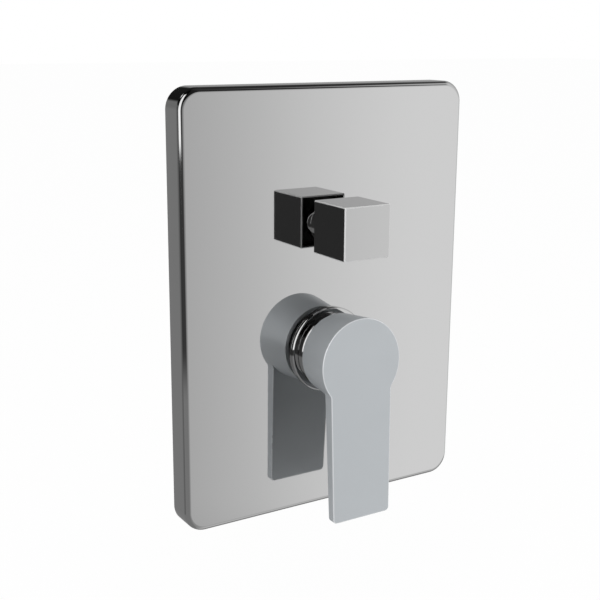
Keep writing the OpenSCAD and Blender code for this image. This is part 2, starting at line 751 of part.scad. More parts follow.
module cartridge_spindle() {
  shoulder_f = guide_front_f + 4 * free_gap;
  shank_back_f = pivot_f - shank_h / 2;
  color("darkgoldenrod") difference() {
    union() {
      translate([-spindle_w / 2, -spindle_front_f, lever_z - spindle_w / 2])
        cube([spindle_w, spindle_front_f - shoulder_f, spindle_w]);
      translate([-shank_w / 2, -shoulder_f - eps, lever_z - shank_h / 2])
        cube([shank_w, shoulder_f + eps - shank_back_f, shank_h]);
      disc(stem_r, ball_f, shank_back_f + eps, z = lever_z);
      translate([0, -ball_f, lever_z]) sphere(r = ball_r, $fn = 48);
    }
    across(pivot_pin_r + run_gap, -spindle_w, spindle_w, pivot_f, lever_z);
  }
}

module retaining_nut() {
  color("goldenrod") difference() {
    ring(nut_r, housing_neck_r + seat_gap_r, nut_back_f, neck_front_f, z = lever_z);
    for (a = [0 : 90 : 270])
      translate([0, 0, lever_z]) rotate([0, a, 0])
        translate([nut_r - notch_in, -neck_front_f - over, -notch_w / 2])
          cube([notch_in + over, notch_h + over, notch_w]);
  }
}

// Sleeve and ring round the lever

module handle_sleeve() {
  back_f = face_f + sleeve_reach - sleeve_len;
  front_f = face_f + sleeve_reach;
  in_r = sleeve_r - sleeve_wall;
  color("silver") stack(0, z = lever_z) rotate_extrude() polygon([
    [in_r, back_f], [sleeve_r, back_f], [sleeve_r, front_f - 2 * ring_bevel],
    [sleeve_r - 2 * ring_bevel, front_f], [sleeve_mouth_r, front_f],
    [sleeve_mouth_r, front_f - sleeve_wall], [in_r, front_f - sleeve_wall]
  ]);
}

module sleeve_seal() {
  back_f = sleeve_groove_f + seat_gap_r;
  color("black")
    ring(neck_r + seat_gap_r, neck_r - sleeve_seal_in, back_f, back_f + sleeve_seal_w, z = lever_z);
}

module base_ring() {
  in_r = sleeve_r + seat_gap_r;
  color("silver") difference() {
    stack(0, z = lever_z) rotate_extrude() polygon([
      [in_r, face_f], [ring_r, face_f], [ring_r, face_f + ring_h - ring_bevel],
      [ring_r - ring_bevel, face_f + ring_h], [in_r, face_f + ring_h]
    ]);
    ring(ring_r - ring_rim, in_r + ring_rim, face_f - over, face_f + ring_seal_t, z = lever_z);
  }
}

module ring_seal() {
  rim = ring_rim + seat_gap_r;
  color("black")
    ring(ring_r - rim, sleeve_r + seat_gap_r + rim, face_f, face_f + ring_seal_t, z = lever_z);
}

// Lever

// The blade's outline as seen from the front, about the lever's axis
module blade_outline() {
  half = blade_top_w / 2;
  neck_x = half + blade_neck_r;
  neck_z = -sqrt(pow(lever_r + blade_neck_r, 2) - neck_x * neck_x);
  end_x = blade_end_w / 2;
  touch = lever_r / (lever_r + blade_neck_r);
  polygon([[-half, 0], [half, 0], [half, neck_z], [end_x, blade_corner_r - blade_len],
    [-end_x, blade_corner_r - blade_len], [-half, neck_z]]);
  translate([-end_x + blade_corner_r, -blade_len])
    square([blade_end_w - 2 * blade_corner_r, 2 * blade_corner_r]);
  for (s = [-1, 1]) {
    translate([s * (end_x - blade_corner_r), blade_corner_r - blade_len]) circle(r = blade_corner_r);
    difference() {
      polygon([[0, 0], [s * neck_x * touch, neck_z * touch], [s * neck_x, neck_z], [s * half, neck_z]]);
      translate([s * neck_x, neck_z]) circle(r = blade_neck_r);
    }
  }
}

// Side view of all that lies behind the leaning face and in front of a back, which may lean too
module lever_side(back_f, back_lean) {
  top = lever_r + over;
  end = blade_len + over;
  translate([top, 0, lever_z]) rotate([0, -90, 0]) linear_extrude(2 * top) polygon([
    [top, -lever_front_f + top * lean], [-end, -lever_front_f - end * lean],
    [-end, -back_f - end * back_lean], [top, -back_f + top * back_lean]
  ]);
}

module lever_handle() {
  body_h = lever_reach - lever_gap + lever_r * lean + over;
  blade_h = lever_reach - lever_gap + blade_len * lean + over;
  cavity_r = lever_back_r - lever_wall;
  color("lightsteelblue") difference() {
    union() {
      intersection() {
        stack(lever_back_f, z = lever_z)
          cylinder(r1 = lever_back_r, r2 = lever_back_r + lever_spread * body_h, h = body_h);
        lever_side(0, 0);
      }
      intersection() {
        stack(lever_back_f, z = lever_z) linear_extrude(blade_h) blade_outline();
        lever_side(blade_back_f, blade_back_lean);
      }
    }
    difference() {
      cone(cavity_r - lever_spread * over, cavity_r + lever_spread * (cavity_front_f - lever_back_f),
        lever_back_f - over, cavity_front_f, z = lever_z);
      disc(hub_r, hub_back_f, cavity_front_f + over, z = lever_z);
    }
    translate([-spindle_w / 2 - run_gap, -socket_front_f, lever_z - spindle_w / 2 - run_gap])
      cube([spindle_w + 2 * run_gap, socket_front_f - hub_back_f + over, spindle_w + 2 * run_gap]);
    upright(lever_screw_r + run_gap, lever_z - hub_r - over, lever_z, lever_screw_f);
    upright(plug_r + seat_gap_r, lever_z - lever_r - over, lever_z - cavity_r + over, lever_screw_f);
  }
}

// A screw that stands upright, with its socket at the bottom
module grub_screw(r, socket_r, top_z, f) {
  difference() {
    upright(r, top_z - grub_len, top_z, f);
    translate([0, -f, top_z - grub_len - over]) cylinder(r = socket_r, h = grub_socket_h + over, $fn = 6);
  }
}

module handle_grub_screw() {
  color("gray")
    grub_screw(lever_screw_r, lever_socket_r, lever_z - spindle_w / 2 - run_gap, lever_screw_f);
}

module handle_plug() {
  low_z = lever_z - skirt_r + plug_sink;
  color("dodgerblue") upright(plug_r, low_z, low_z + plug_len, lever_screw_f);
}

// Diverter

module diverter_bonnet() {
  color("goldenrod") difference() {
    union() {
      disc(bonnet_r, cage_front_f, hex_back_f + eps, z = knob_z);
      hexagon(bonnet_hex_r, hex_back_f, hex_back_f + bonnet_hex_h, z = knob_z);
      disc(bonnet_neck_r, hex_back_f + bonnet_hex_h - eps, bonnet_front_f, z = knob_z);
    }
    disc(spring_r + wire_d / 2 + spring_side_gap, cage_front_f - over, spring_end_f, z = knob_z);
    disc(rod_r + gland_w, gland_f, gland_f + gland_h, z = knob_z);
    disc(rod_r + run_gap, spring_end_f - over, guide_flat_f, z = knob_z);
    difference() {
      disc(rod_r + run_gap, guide_flat_f - eps, bonnet_front_f + over, z = knob_z);
      translate([-rod_r - over, -bonnet_front_f - over, knob_z - 2 * rod_r + rod_flat - run_gap])
        cube([2 * (rod_r + over), bonnet_front_f - guide_flat_f + 2 * over, rod_r]);
    }
  }
}

module bonnet_seal() {
  in_r = bonnet_r + seat_gap_r;
  color("black") ring(in_r + bonnet_seal_w, in_r, boss_front_f, hex_back_f, z = knob_z);
}

module gland_seal() {
  color("black") ring(rod_r + gland_w - run_gap, rod_r + run_gap, gland_f + seat_gap_r,
    gland_f + gland_h - seat_gap_r, z = knob_z);
}

module diverter_collar() {
  in_r = bonnet_neck_r + seat_gap_r;
  back_f = face_f - collar_skirt_h;
  wall_f = collar_front_f - collar_wall;
  mouth_r = knob_neck_r + free_gap;
  color("silver") difference() {
    stack(0, z = knob_z) rotate_extrude() polygon([
      [in_r, back_f], [collar_skirt_r, back_f], [collar_skirt_r, face_f], [collar_r, face_f],
      [collar_r, collar_front_f - ring_bevel], [collar_r - ring_bevel, collar_front_f],
      [mouth_r, collar_front_f], [mouth_r, wall_f], [in_r, wall_f]
    ]);
    ring(collar_r - collar_rim, collar_skirt_r, face_f - eps, face_f + collar_seal_t, z = knob_z);
  }
}

module collar_seal() {
  color("black") ring(collar_r - collar_rim - seat_gap_r, collar_skirt_r + run_gap, face_f,
    face_f + collar_seal_t, z = knob_z);
}

// An opening between two rims of the cage, towards the top or the bottom
module cage_window(f0, f1, side) {
  translate([-channel_r, -f1 + cage_rim, knob_z + (side > 0 ? 0 : -chamber_r - over)])
    cube([2 * channel_r, f1 - f0 - 2 * cage_rim, chamber_r + over]);
}

module diverter_cage() {
  in_r = cage_r - cage_wall;
  color("white") difference() {
    disc(cage_r, floor_f, cage_front_f, z = knob_z);
    disc(in_r, floor_f - over, rear_seat_f, z = knob_z);
    disc(in_r, mid_zone_f, front_seat_f, z = knob_z);
    disc(in_r, front_zone_f, cage_front_f + over, z = knob_z);
    disc(seat_r, floor_f, cage_front_f, z = knob_z);
    cage_window(floor_f, rear_seat_f, -1);
    cage_window(mid_zone_f, front_seat_f, -1);
    cage_window(front_zone_f, cage_front_f, 1);
    for (f = [rear_seat_f, front_seat_f])
      ring(cage_r + over, cage_r - cage_groove, f + cage_seal_rim, f + seat_t - cage_seal_rim, z = knob_z);
  }
}

module cage_seals() {
  rim = cage_seal_rim + run_gap;
  color("black") for (f = [rear_seat_f, front_seat_f])
    ring(chamber_r - 2 * eps, cage_r - cage_groove + run_gap, f + rim, f + seat_t - rim, z = knob_z);
}

module diverter_rod() {
  collar_back_f = rear_washer_f + rear_washer_t;
  color("goldenrod") difference() {
    union() {
      disc(rod_r, rod_back_f, rod_front_f, z = knob_z);
      disc(rod_flange_r, rod_flange_f, rod_flange_f + rod_flange_t, z = knob_z);
      disc(rod_collar_r, collar_back_f, collar_back_f + rod_collar_t, z = knob_z);
    }
    translate([-rod_r - over, -rod_front_f - over, knob_z - 2 * rod_r + rod_flat])
      cube([2 * (rod_r + over), rod_front_f + over - rod_flat_f, rod_r]);
  }
}

module front_washer() {
  color("black") ring(washer_r, rod_r + run_gap, front_zone_f + seat_gap_r, rod_flange_f, z = knob_z);
}

module rear_washer() {
  color("black") ring(washer_r, rod_r + run_gap, rear_washer_f, rear_washer_f + rear_washer_t, z = knob_z);
}

module rod_nut() {
  color("goldenrod") difference() {
    hexagon(rod_nut_r, rod_back_f, rear_washer_f, z = knob_z);
    disc(rod_r + run_gap, rod_back_f - over, rear_washer_f + over, z = knob_z);
  }
}

// Return spring, one unbroken wire wound between the rod's flange and the bonnet

spring_sides = 6;
spring_rings = 8;
spring_from = rod_flange_f + rod_flange_t + run_gap + wire_d / 2;
spring_to = spring_end_f - run_gap - wire_d / 2;
spring_steps = spring_curls * spring_rings;
spring_rise = spring_to - spring_from;

function coil_angle(t) = 360 * spring_curls * t;
function coil_point(t) = [spring_r * cos(coil_angle(t)), spring_r * sin(coil_angle(t)), spring_rise * t];
function wire_ring(i) = let (t = i / spring_steps, a = coil_angle(t), c = coil_point(t))
  [for (k = [0 : spring_sides - 1]) let (b = 360 * k / spring_sides)
    c + wire_d / 2 * [cos(b) * cos(a), cos(b) * sin(a), sin(b)]];
function least_gap() = min([for (i = [0 : spring_steps - spring_rings], j = [i + spring_rings : spring_steps])
  norm(coil_point(i / spring_steps) - coil_point(j / spring_steps))]) - wire_d;

module return_spring() {
  points = [for (i = [0 : spring_steps]) each wire_ring(i)];
  last = spring_steps * spring_sides;
  sides = [for (i = [0 : spring_steps - 1], k = [0 : spring_sides - 1])
    let (a = i * spring_sides + k, b = i * spring_sides + (k + 1) % spring_sides)
    each [[a, a + spring_sides, b], [b, a + spring_sides, b + spring_sides]]];
  first_cap = [for (k = [1 : spring_sides - 2]) [0, k, k + 1]];
  last_cap = [for (k = [1 : spring_sides - 2]) [last, last + k + 1, last + k]];
  echo(spring_least_gap = least_gap());
  color("gray") stack(spring_from, z = knob_z)
    polyhedron(points = points, faces = concat(sides, first_cap, last_cap), convexity = 10);
}

// A block whose twelve edges are rounded
module rounded_block(w, d, r) {
  intersection() {
    rotate([90, 0, 0]) linear_extrude(d, center = true) rounded_outline(w, w, r);
    rotate([0, 90, 0]) linear_extrude(w, center = true) rounded_outline(w, d, r);
    linear_extrude(w, center = true) rounded_outline(w, d, r);
  }
}

module diverter_knob() {
  color("silver") difference() {
    union() {
      translate([0, -(knob_back_f + knob_front_f) / 2, knob_z]) rounded_block(knob_w, knob_d, knob_edge_r);
      disc(knob_neck_r, collar_front_f - collar_wall + 2 * free_gap, knob_back_f + eps, z = knob_z);
    }
    disc(rod_r + run_gap, face_f, knob_hole_f, z = knob_z);
    upright(knob_screw_r + run_gap, knob_z - knob_w, knob_z, knob_screw_f);
  }
}

module knob_grub_screw() {
  color("gray") grub_screw(knob_screw_r, knob_socket_r, knob_z - rod_r + rod_flat - run_gap, knob_screw_f);
}

cover_plate();
plate_gasket();
mounting_bracket();
bracket_screws();
valve_body();
inlet_filters();
check_valves();
cartridge_housing();
cartridge_base();
base_seals();
fixed_disc();
moving_disc();
disc_carrier();
spindle_guide();
pivot_pin();
cartridge_spindle();
retaining_nut();
handle_sleeve();
sleeve_seal();
base_ring();
ring_seal();
lever_handle();
handle_grub_screw();
handle_plug();
diverter_bonnet();
bonnet_seal();
gland_seal();
diverter_collar();
collar_seal();
diverter_cage();
cage_seals();
diverter_rod();
front_washer();
rear_washer();
rod_nut();
return_spring();
diverter_knob();
knob_grub_screw();
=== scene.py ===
# %% [markdown]
# Concealed mixer, dressed for a photograph.
#
# The real object is a brass valve that is walled in behind the tiles. All that shows in a bathroom
# is a pressed and chromed cover plate, a square knob that sends the water to the bath or to the
# shower, and a single lever. The solids come from the frame. This script gives the parts that show
# softer edges and real finishes, and lights them the way a product photographer lights chrome.

# %% Load the frame
import json
from math import atan2, cos, pi, radians, sin, sqrt, tan

import bmesh
import bpy
from mathutils import Matrix, Vector


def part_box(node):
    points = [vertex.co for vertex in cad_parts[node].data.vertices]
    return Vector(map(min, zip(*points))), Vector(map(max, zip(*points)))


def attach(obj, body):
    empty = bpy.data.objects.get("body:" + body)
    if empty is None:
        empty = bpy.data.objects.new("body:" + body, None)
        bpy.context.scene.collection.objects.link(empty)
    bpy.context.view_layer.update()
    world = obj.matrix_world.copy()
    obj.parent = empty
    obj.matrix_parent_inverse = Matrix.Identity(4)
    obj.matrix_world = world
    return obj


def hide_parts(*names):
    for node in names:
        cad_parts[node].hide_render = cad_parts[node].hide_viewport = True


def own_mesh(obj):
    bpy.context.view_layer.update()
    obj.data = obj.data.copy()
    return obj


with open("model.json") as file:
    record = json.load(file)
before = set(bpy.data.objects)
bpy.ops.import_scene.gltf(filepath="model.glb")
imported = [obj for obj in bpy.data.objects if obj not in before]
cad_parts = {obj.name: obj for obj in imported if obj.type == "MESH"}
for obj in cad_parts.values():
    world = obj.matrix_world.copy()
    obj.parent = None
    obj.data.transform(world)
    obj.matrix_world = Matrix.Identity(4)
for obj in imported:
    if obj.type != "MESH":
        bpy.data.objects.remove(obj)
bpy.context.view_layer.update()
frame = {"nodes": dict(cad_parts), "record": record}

mm = 0.001

# %% [markdown]
# The camera stands where the photographer stood: to the left of the plate and a little above it.
# Its place and its 65 mm lens were found by fitting the plate's four edges, the knob's corners and
# the lever to the picture, so no shift is needed. A camera looks along its own -Z axis, so its
# matrix is built from the three directions right, up and backwards.

# %% The camera
view_azimuth = radians(31.643)
view_elevation = radians(14.067)
view_roll = radians(0.403)
camera_place = Vector((-0.269352, -0.486733, 0.124095))

forward = Vector(
    (
        sin(view_azimuth) * cos(view_elevation),
        cos(view_azimuth) * cos(view_elevation),
        -sin(view_elevation),
    )
)
level_right = forward.cross(Vector((0, 0, 1))).normalized()
level_up = level_right.cross(forward)
right = level_right * cos(view_roll) + level_up * sin(view_roll)
up = level_up * cos(view_roll) - level_right * sin(view_roll)

camera_data = bpy.data.cameras.new("camera")
camera_data.lens = 65.254
camera_data.sensor_width = 36
camera_data.clip_end = 50
camera = bpy.data.objects.new("camera", camera_data)
turned_view = Matrix((right, up, -forward)).transposed().to_4x4()
camera.matrix_world = Matrix.Translation(camera_place) @ turned_view
bpy.context.scene.collection.objects.link(camera)
bpy.context.scene.camera = camera
lens = round(camera_data.lens, 3)
print("camera at", [round(value, 3) for value in camera_place], "with a", lens, "mm lens")

# %% [markdown]
# Node trees are easier to read when one call adds a node, sets its values and links its inputs.
# An input is given by its name or its number: a number, a colour or the socket of another node.

# %% Helpers for nodes


def add_node(tree, kind, inputs=None, **settings):
    made = tree.nodes.new(kind)
    for name, value in settings.items():
        setattr(made, name, value)
    for key, value in (inputs or {}).items():
        socket = made.inputs[key]
        if isinstance(value, bpy.types.NodeSocket):
            tree.links.new(value, socket)
        else:
            socket.default_value = value
    return made


def math_node(tree, operation, first, second=0.0, third=0.0):
    made = add_node(tree, "ShaderNodeMath", {0: first, 1: second, 2: third}, operation=operation)
    return made.outputs[0]


def blend(tree, share, first, second):
    """A number that goes from first to second as share goes from 0 to 1."""
    made = add_node(
        tree, "ShaderNodeMix", {"Factor": share, "A": first, "B": second}, data_type="FLOAT"
    )
    return made.outputs[0]


def set_ramp(ramp, stops):
    """Sets a colour ramp to (position, grey) stops."""
    elements = ramp.color_ramp.elements
    while len(elements) < len(stops):
        elements.new(0.5)
    for element, (position, grey) in zip(elements, stops):
        element.position = position
        element.color = (grey, grey, grey, 1)


# %% [markdown]
# Chrome has hardly any colour of its own, so its picture is the picture of the studio around it.
# A flat grey world would make dull metal. A photographer would build a set, or use a picture of
# one. Here the set is painted with nodes instead, because each soft edge can then be moved with
# one number. Every direction is read as a heading and a height: a heading of 0 is straight in
# front of the plate, and headings to the right are positive.

# %% The world and its directions
world = bpy.data.worlds.new("studio")
world.use_nodes = True
bpy.context.scene.world = world
world_tree = world.node_tree
world_tree.nodes.clear()

direction = add_node(world_tree, "ShaderNodeTexCoord").outputs["Generated"]
parts = add_node(world_tree, "ShaderNodeSeparateXYZ", {0: direction})
height = parts.outputs["Z"]
toward_viewer = math_node(world_tree, "MULTIPLY", parts.outputs["Y"], -1)
heading = math_node(world_tree, "ARCTAN2", parts.outputs["X"], toward_viewer)


def soft_step(value, low, high):
    """0 below low and 1 above high, for a socket in the world's tree."""
    made = add_node(
        world_tree,
        "ShaderNodeMapRange",
        {"Value": value, "From Min": low, "From Max": high, "To Min": 0.0, "To Max": 1.0},
        interpolation_type="SMOOTHSTEP",
    )
    return made.outputs["Result"]


def below(value, low, high):
    """1 below low and 0 above high."""
    return math_node(world_tree, "SUBTRACT", 1, soft_step(value, low, high))


def between(value, low, high, blur):
    """1 from low to high and 0 outside, with both ends blurred."""
    above_low = soft_step(value, low - blur, low + blur)
    return math_node(world_tree, "MULTIPLY", above_low, below(value, high - blur, high + blur))


print("world nodes that read the direction:", len(world_tree.nodes))

# %% [markdown]
# The walls are one colour ramp round the room. The plate's face mirrors the right wall, whose
# tones make it brighter towards its right side. The dark stretch on the left gives the knob its
# black side. The walls are brightest below eye level, dim a little above it, and end at a dark
# ceiling, which is higher on the right. Heights are compared as sines, because the Z of a
# direction is the sine of its height.

# %% The studio's walls and ceiling
# Headings in degrees, and the wall's brightness there
wall_tones = [
    (-180, 0.32),
    (-150, 0.235),
    (-110, 0.15),
    (-92, 0.05),
    (-18, 0.055),
    (-6, 0.30),
    (18, 0.48),
    (25.3, 0.58),
    (29.1, 0.70),
    (32, 0.81),
    (34.8, 0.89),
    (37.4, 0.95),
    (60, 0.97),
    (95, 0.70),
    (144, 0.40),
    (180, 0.32),
]
dim_from, dim_to, dim_by = sin(radians(-2)), sin(radians(7)), 0.2
ceiling_from, ceiling_to, ceiling_by = sin(radians(14)), sin(radians(19)), 0.95
tall_wall_left, tall_wall_right, tall_wall_blur = radians(46), radians(157), radians(7)
tall_ceiling_from, tall_ceiling_to = sin(radians(36)), sin(radians(54))

turn = add_node(
    world_tree,
    "ShaderNodeMapRange",
    {"Value": heading, "From Min": -pi, "From Max": pi, "To Min": 0.0, "To Max": 1.0},
)
walls = add_node(world_tree, "ShaderNodeValToRGB", {"Fac": turn.outputs["Result"]})
set_ramp(walls, [((angle + 180) / 360, tone) for angle, tone in wall_tones])
dimmed = math_node(world_tree, "MULTIPLY_ADD", soft_step(height, dim_from, dim_to), -dim_by, 1.0)
low_ceiling = soft_step(height, ceiling_from, ceiling_to)
high_ceiling = soft_step(height, tall_ceiling_from, tall_ceiling_to)
tall_wall = between(heading, tall_wall_left, tall_wall_right, tall_wall_blur)
ceiling_rise = math_node(world_tree, "SUBTRACT", high_ceiling, low_ceiling)
ceiling = math_node(world_tree, "MULTIPLY_ADD", ceiling_rise, tall_wall, low_ceiling)
darkened = math_node(world_tree, "MULTIPLY_ADD", ceiling, -ceiling_by, 1.0)
shaded_wall = math_node(world_tree, "MULTIPLY", dimmed, darkened)
wall_light = math_node(world_tree, "MULTIPLY", walls.outputs["Color"], shaded_wall)
print("studio walls with", len(wall_tones), "tones")

# %% [markdown]
# The floor that the chrome mirrors is a plain grey, because a white one would hide the plate's
# lower rim. It starts well below eye level, so that the plate's face shows only wall, and keeps
# some of the wall's light in front. On the left it starts higher up, for the rim's lower left
# corner.

# %% The studio's floor
floor_tone = 0.25
floor_from, floor_to = sin(radians(-24)), sin(radians(-30))
front_floor_share = 0.45
front_ends, sides_start = radians(60), radians(90)
near_floor_from, near_floor_to = sin(radians(-16.5)), sin(radians(-19.5))
near_floor_left, near_floor_right, near_floor_blur = radians(-100), radians(-5), radians(5)

off_front = soft_step(math_node(world_tree, "ABSOLUTE", heading), front_ends, sides_start)
floor_share = math_node(
    world_tree, "MULTIPLY_ADD", off_front, 1 - front_floor_share, front_floor_share
)
far_floor = math_node(world_tree, "MULTIPLY", below(height, floor_to, floor_from), floor_share)
near_side = between(heading, near_floor_left, near_floor_right, near_floor_blur)
near_drop = below(height, near_floor_to, near_floor_from)
near_floor = math_node(world_tree, "MULTIPLY", near_side, near_drop)
on_floor = math_node(world_tree, "MAXIMUM", far_floor, near_floor)
room = blend(world_tree, on_floor, wall_light, floor_tone)
print("studio floor of tone", floor_tone)

# %% [markdown]
# Two lights are painted on the room. A tall softbox on the left puts the long highlight on the
# plate's rounded left edge. A small lamp behind the plate catches the rounded edge in the upper
# left corner. A softbox has crisp edges in chrome, so both are blurred only a little.

# %% The softbox and the rear lamp
softbox_left, softbox_right = radians(-85), radians(-42)
softbox_low, softbox_high = sin(radians(-6.3)), sin(radians(62))
softbox_side_blur, softbox_end_blur = 0.05, 0.01
rear_lamp_left, rear_lamp_right = radians(-147), radians(-127)
rear_lamp_low, rear_lamp_high = sin(radians(40)), sin(radians(51))
rear_lamp_blur = 0.03
box_strength = 1.3

softbox = math_node(
    world_tree,
    "MULTIPLY",
    between(heading, softbox_left, softbox_right, softbox_side_blur),
    between(height, softbox_low, softbox_high, softbox_end_blur),
)
rear_lamp = math_node(
    world_tree,
    "MULTIPLY",
    between(heading, rear_lamp_left, rear_lamp_right, rear_lamp_blur),
    between(height, rear_lamp_low, rear_lamp_high, rear_lamp_blur),
)
boxes = math_node(world_tree, "ADD", softbox, rear_lamp)
studio = math_node(world_tree, "MULTIPLY_ADD", boxes, box_strength, room)
print("softbox and rear lamp at", box_strength, "times white")

# %% [markdown]
# Only reflections see the studio. The camera sees plain white, and matt surfaces get plain even
# light, so that their colours come out as they are written. The Light Path node tells the kinds of
# rays apart.

# %% What each kind of ray sees
even_light = 0.95

ray = add_node(world_tree, "ShaderNodeLightPath")
for_gloss = blend(world_tree, ray.outputs["Is Glossy Ray"], even_light, studio)
for_camera = blend(world_tree, ray.outputs["Is Camera Ray"], for_gloss, 1.0)
background = add_node(
    world_tree, "ShaderNodeBackground", {"Color": (1, 1, 1, 1), "Strength": for_camera}
)
add_node(world_tree, "ShaderNodeOutputWorld", {"Surface": background.outputs[0]})
print("studio nodes:", len(world_tree.nodes))

# %% [markdown]
# One large soft lamp from the upper left gives matt parts some shape. It is switched off for
# reflections, because the studio's walls already do that work.

# %% The lamp
lamp_place = Vector((-0.9, -1.5, 1.3))
lamp_data = bpy.data.lights.new("soft_lamp", "AREA")
lamp_data.shape = "DISK"
lamp_data.size = 1.4
lamp_data.energy = 12
lamp = bpy.data.objects.new("soft_lamp", lamp_data)
lamp_turn = lamp_place.to_track_quat("Z", "Y").to_matrix().to_4x4()
lamp.matrix_world = Matrix.Translation(lamp_place) @ lamp_turn
lamp.visible_glossy = False
bpy.context.scene.collection.objects.link(lamp)
print("soft lamp of", lamp_data.energy, "W and", round(lamp_data.size, 1), "m")

# %% [markdown]
# The floor lies well below the plate. To the camera it shows white, with just enough plain shading
# left in it to keep the object's shadow. It is staging, not a part of the object.

# %% The floor
floor_z = -0.3
floor_size = 24
floor_white = 0.9
glow_share = 0.9

bm = bmesh.new()
bmesh.ops.create_grid(bm, x_segments=1, y_segments=1, size=floor_size / 2)
bmesh.ops.translate(bm, verts=bm.verts, vec=(0, 0, floor_z))
floor_mesh = bpy.data.meshes.new("floor")
bm.to_mesh(floor_mesh)
bm.free()
floor = bpy.data.objects.new("floor", floor_mesh)
bpy.context.scene.collection.objects.link(floor)
floor.visible_glossy = False

floor_paint = bpy.data.materials.new("floor_paint")
floor_paint.use_nodes = True
paint_tree = floor_paint.node_tree
paint_tree.nodes.clear()
paint = (floor_white, floor_white, floor_white, 1)
matt = add_node(paint_tree, "ShaderNodeBsdfDiffuse", {"Color": paint})
white = add_node(paint_tree, "ShaderNodeEmission", {"Color": (1, 1, 1, 1), "Strength": 1.0})
ray = add_node(paint_tree, "ShaderNodeLightPath")
seen = math_node(
    paint_tree, "MAXIMUM", ray.outputs["Is Camera Ray"], ray.outputs["Is Transmission Ray"]
)
glow = math_node(paint_tree, "MULTIPLY", seen, glow_share)
mixed = add_node(paint_tree, "ShaderNodeMixShader", {0: glow, 1: matt.outputs[0], 2: white.outputs[0]})
add_node(paint_tree, "ShaderNodeOutputMaterial", {"Surface": mixed.outputs[0]})
floor_mesh.materials.append(floor_paint)
bpy.context.scene.view_settings.view_transform = "Standard"
print("floor at z =", floor_z)

# %% [markdown]
# Finishes share a few effects, so each effect is a node group: built once, and placed in each
# material with its own values. The first is grain, the fine bumps of cast metal, moulded plastic
# or rubber. It gives a height for bumps, and a tone for mixing two colours.

# %% A group for grain


def new_group(name, inputs, outputs):
    group = bpy.data.node_groups.new(name, "ShaderNodeTree")
    for socket_name, default in inputs.items():
        socket = group.interface.new_socket(
            socket_name, in_out="INPUT", socket_type="NodeSocketFloat"
        )
        socket.default_value = default
    for socket_name in outputs:
        group.interface.new_socket(socket_name, in_out="OUTPUT", socket_type="NodeSocketFloat")
    return group, group.nodes.new("NodeGroupInput"), group.nodes.new("NodeGroupOutput")


def spread_noise(group, noise, start, end, entry):
    """Maps the noise's middle values to the range from the group's Low to its High."""
    spread = add_node(
        group,
        "ShaderNodeMapRange",
        {
            "Value": noise.outputs["Fac"],
            "From Min": start,
            "From Max": end,
            "To Min": entry.outputs["Low"],
            "To Max": entry.outputs["High"],
        },
    )
    return spread.outputs["Result"]


grain_group, entry, leave = new_group(
    "grain", {"Scale": 900.0, "Low": 0.0, "High": 1.0}, ["Height", "Tone"]
)
place = add_node(grain_group, "ShaderNodeTexCoord")
fine = add_node(
    grain_group,
    "ShaderNodeTexNoise",
    {"Vector": place.outputs["Object"], "Scale": entry.outputs["Scale"], "Detail": 5.0, "Roughness": 0.6},
)
grain_group.links.new(fine.outputs["Fac"], leave.inputs["Height"])
grain_group.links.new(spread_noise(grain_group, fine, 0.3, 0.7, entry), leave.inputs["Tone"])
print("group:", grain_group.name, "with", len(grain_group.nodes), "nodes")

# %% [markdown]
# The second effect is smudges, the faint uneven gloss that any handled surface has. A broad noise
# moves the roughness a little from place to place. A single roughness would look like plastic.

# %% A group for smudges
smudge_group, entry, leave = new_group(
    "smudges", {"Scale": 25.0, "Low": 0.03, "High": 0.08}, ["Roughness"]
)
place = add_node(smudge_group, "ShaderNodeTexCoord")
broad = add_node(
    smudge_group,
    "ShaderNodeTexNoise",
    {"Vector": place.outputs["Object"], "Scale": entry.outputs["Scale"], "Detail": 4.0, "Distortion": 0.6},
)
smudge_group.links.new(
    spread_noise(smudge_group, broad, 0.35, 0.7, entry), leave.inputs["Roughness"]
)
print("group:", smudge_group.name, "with", len(smudge_group.nodes), "nodes")

# %% [markdown]
# The third effect is turning, the fine rings that a lathe leaves round an axis. The distance from
# the axis and the place along it both feed one sine, so that ends and sides get rings alike.

# %% A group for turning
turning_group, entry, leave = new_group(
    "turning", {"Centre Height": 0.0, "Pitch": 4000.0}, ["Height"]
)
place = add_node(turning_group, "ShaderNodeTexCoord")
spot = add_node(turning_group, "ShaderNodeSeparateXYZ", {0: place.outputs["Object"]})
across = spot.outputs["X"]
rise = math_node(turning_group, "SUBTRACT", spot.outputs["Z"], entry.outputs["Centre Height"])
rise_square = math_node(turning_group, "MULTIPLY", rise, rise)
squares = math_node(turning_group, "MULTIPLY_ADD", across, across, rise_square)
off_axis = math_node(turning_group, "SQRT", squares)
along = math_node(turning_group, "ADD", off_axis, spot.outputs["Y"])
phase = math_node(turning_group, "MULTIPLY", along, entry.outputs["Pitch"])
turning_group.links.new(math_node(turning_group, "SINE", phase), leave.inputs["Height"])
print("group:", turning_group.name, "with", len(turning_group.nodes), "nodes")

# %% [markdown]
# Every finish is one Principled BSDF, and all start alike: smudges move the roughness between two
# values, and grain can bump the surface or mix two tones. A metal has its colour in its mirror
# image, so its base colour is what it reflects.

# %% Helpers for finishes
finishes = {}
bump_strength = 0.5


def group_node(tree, group, **values):
    made = add_node(tree, "ShaderNodeGroup", node_tree=group)
    for name, value in values.items():
        made.inputs[name.replace("_", " ")].default_value = value
    return made


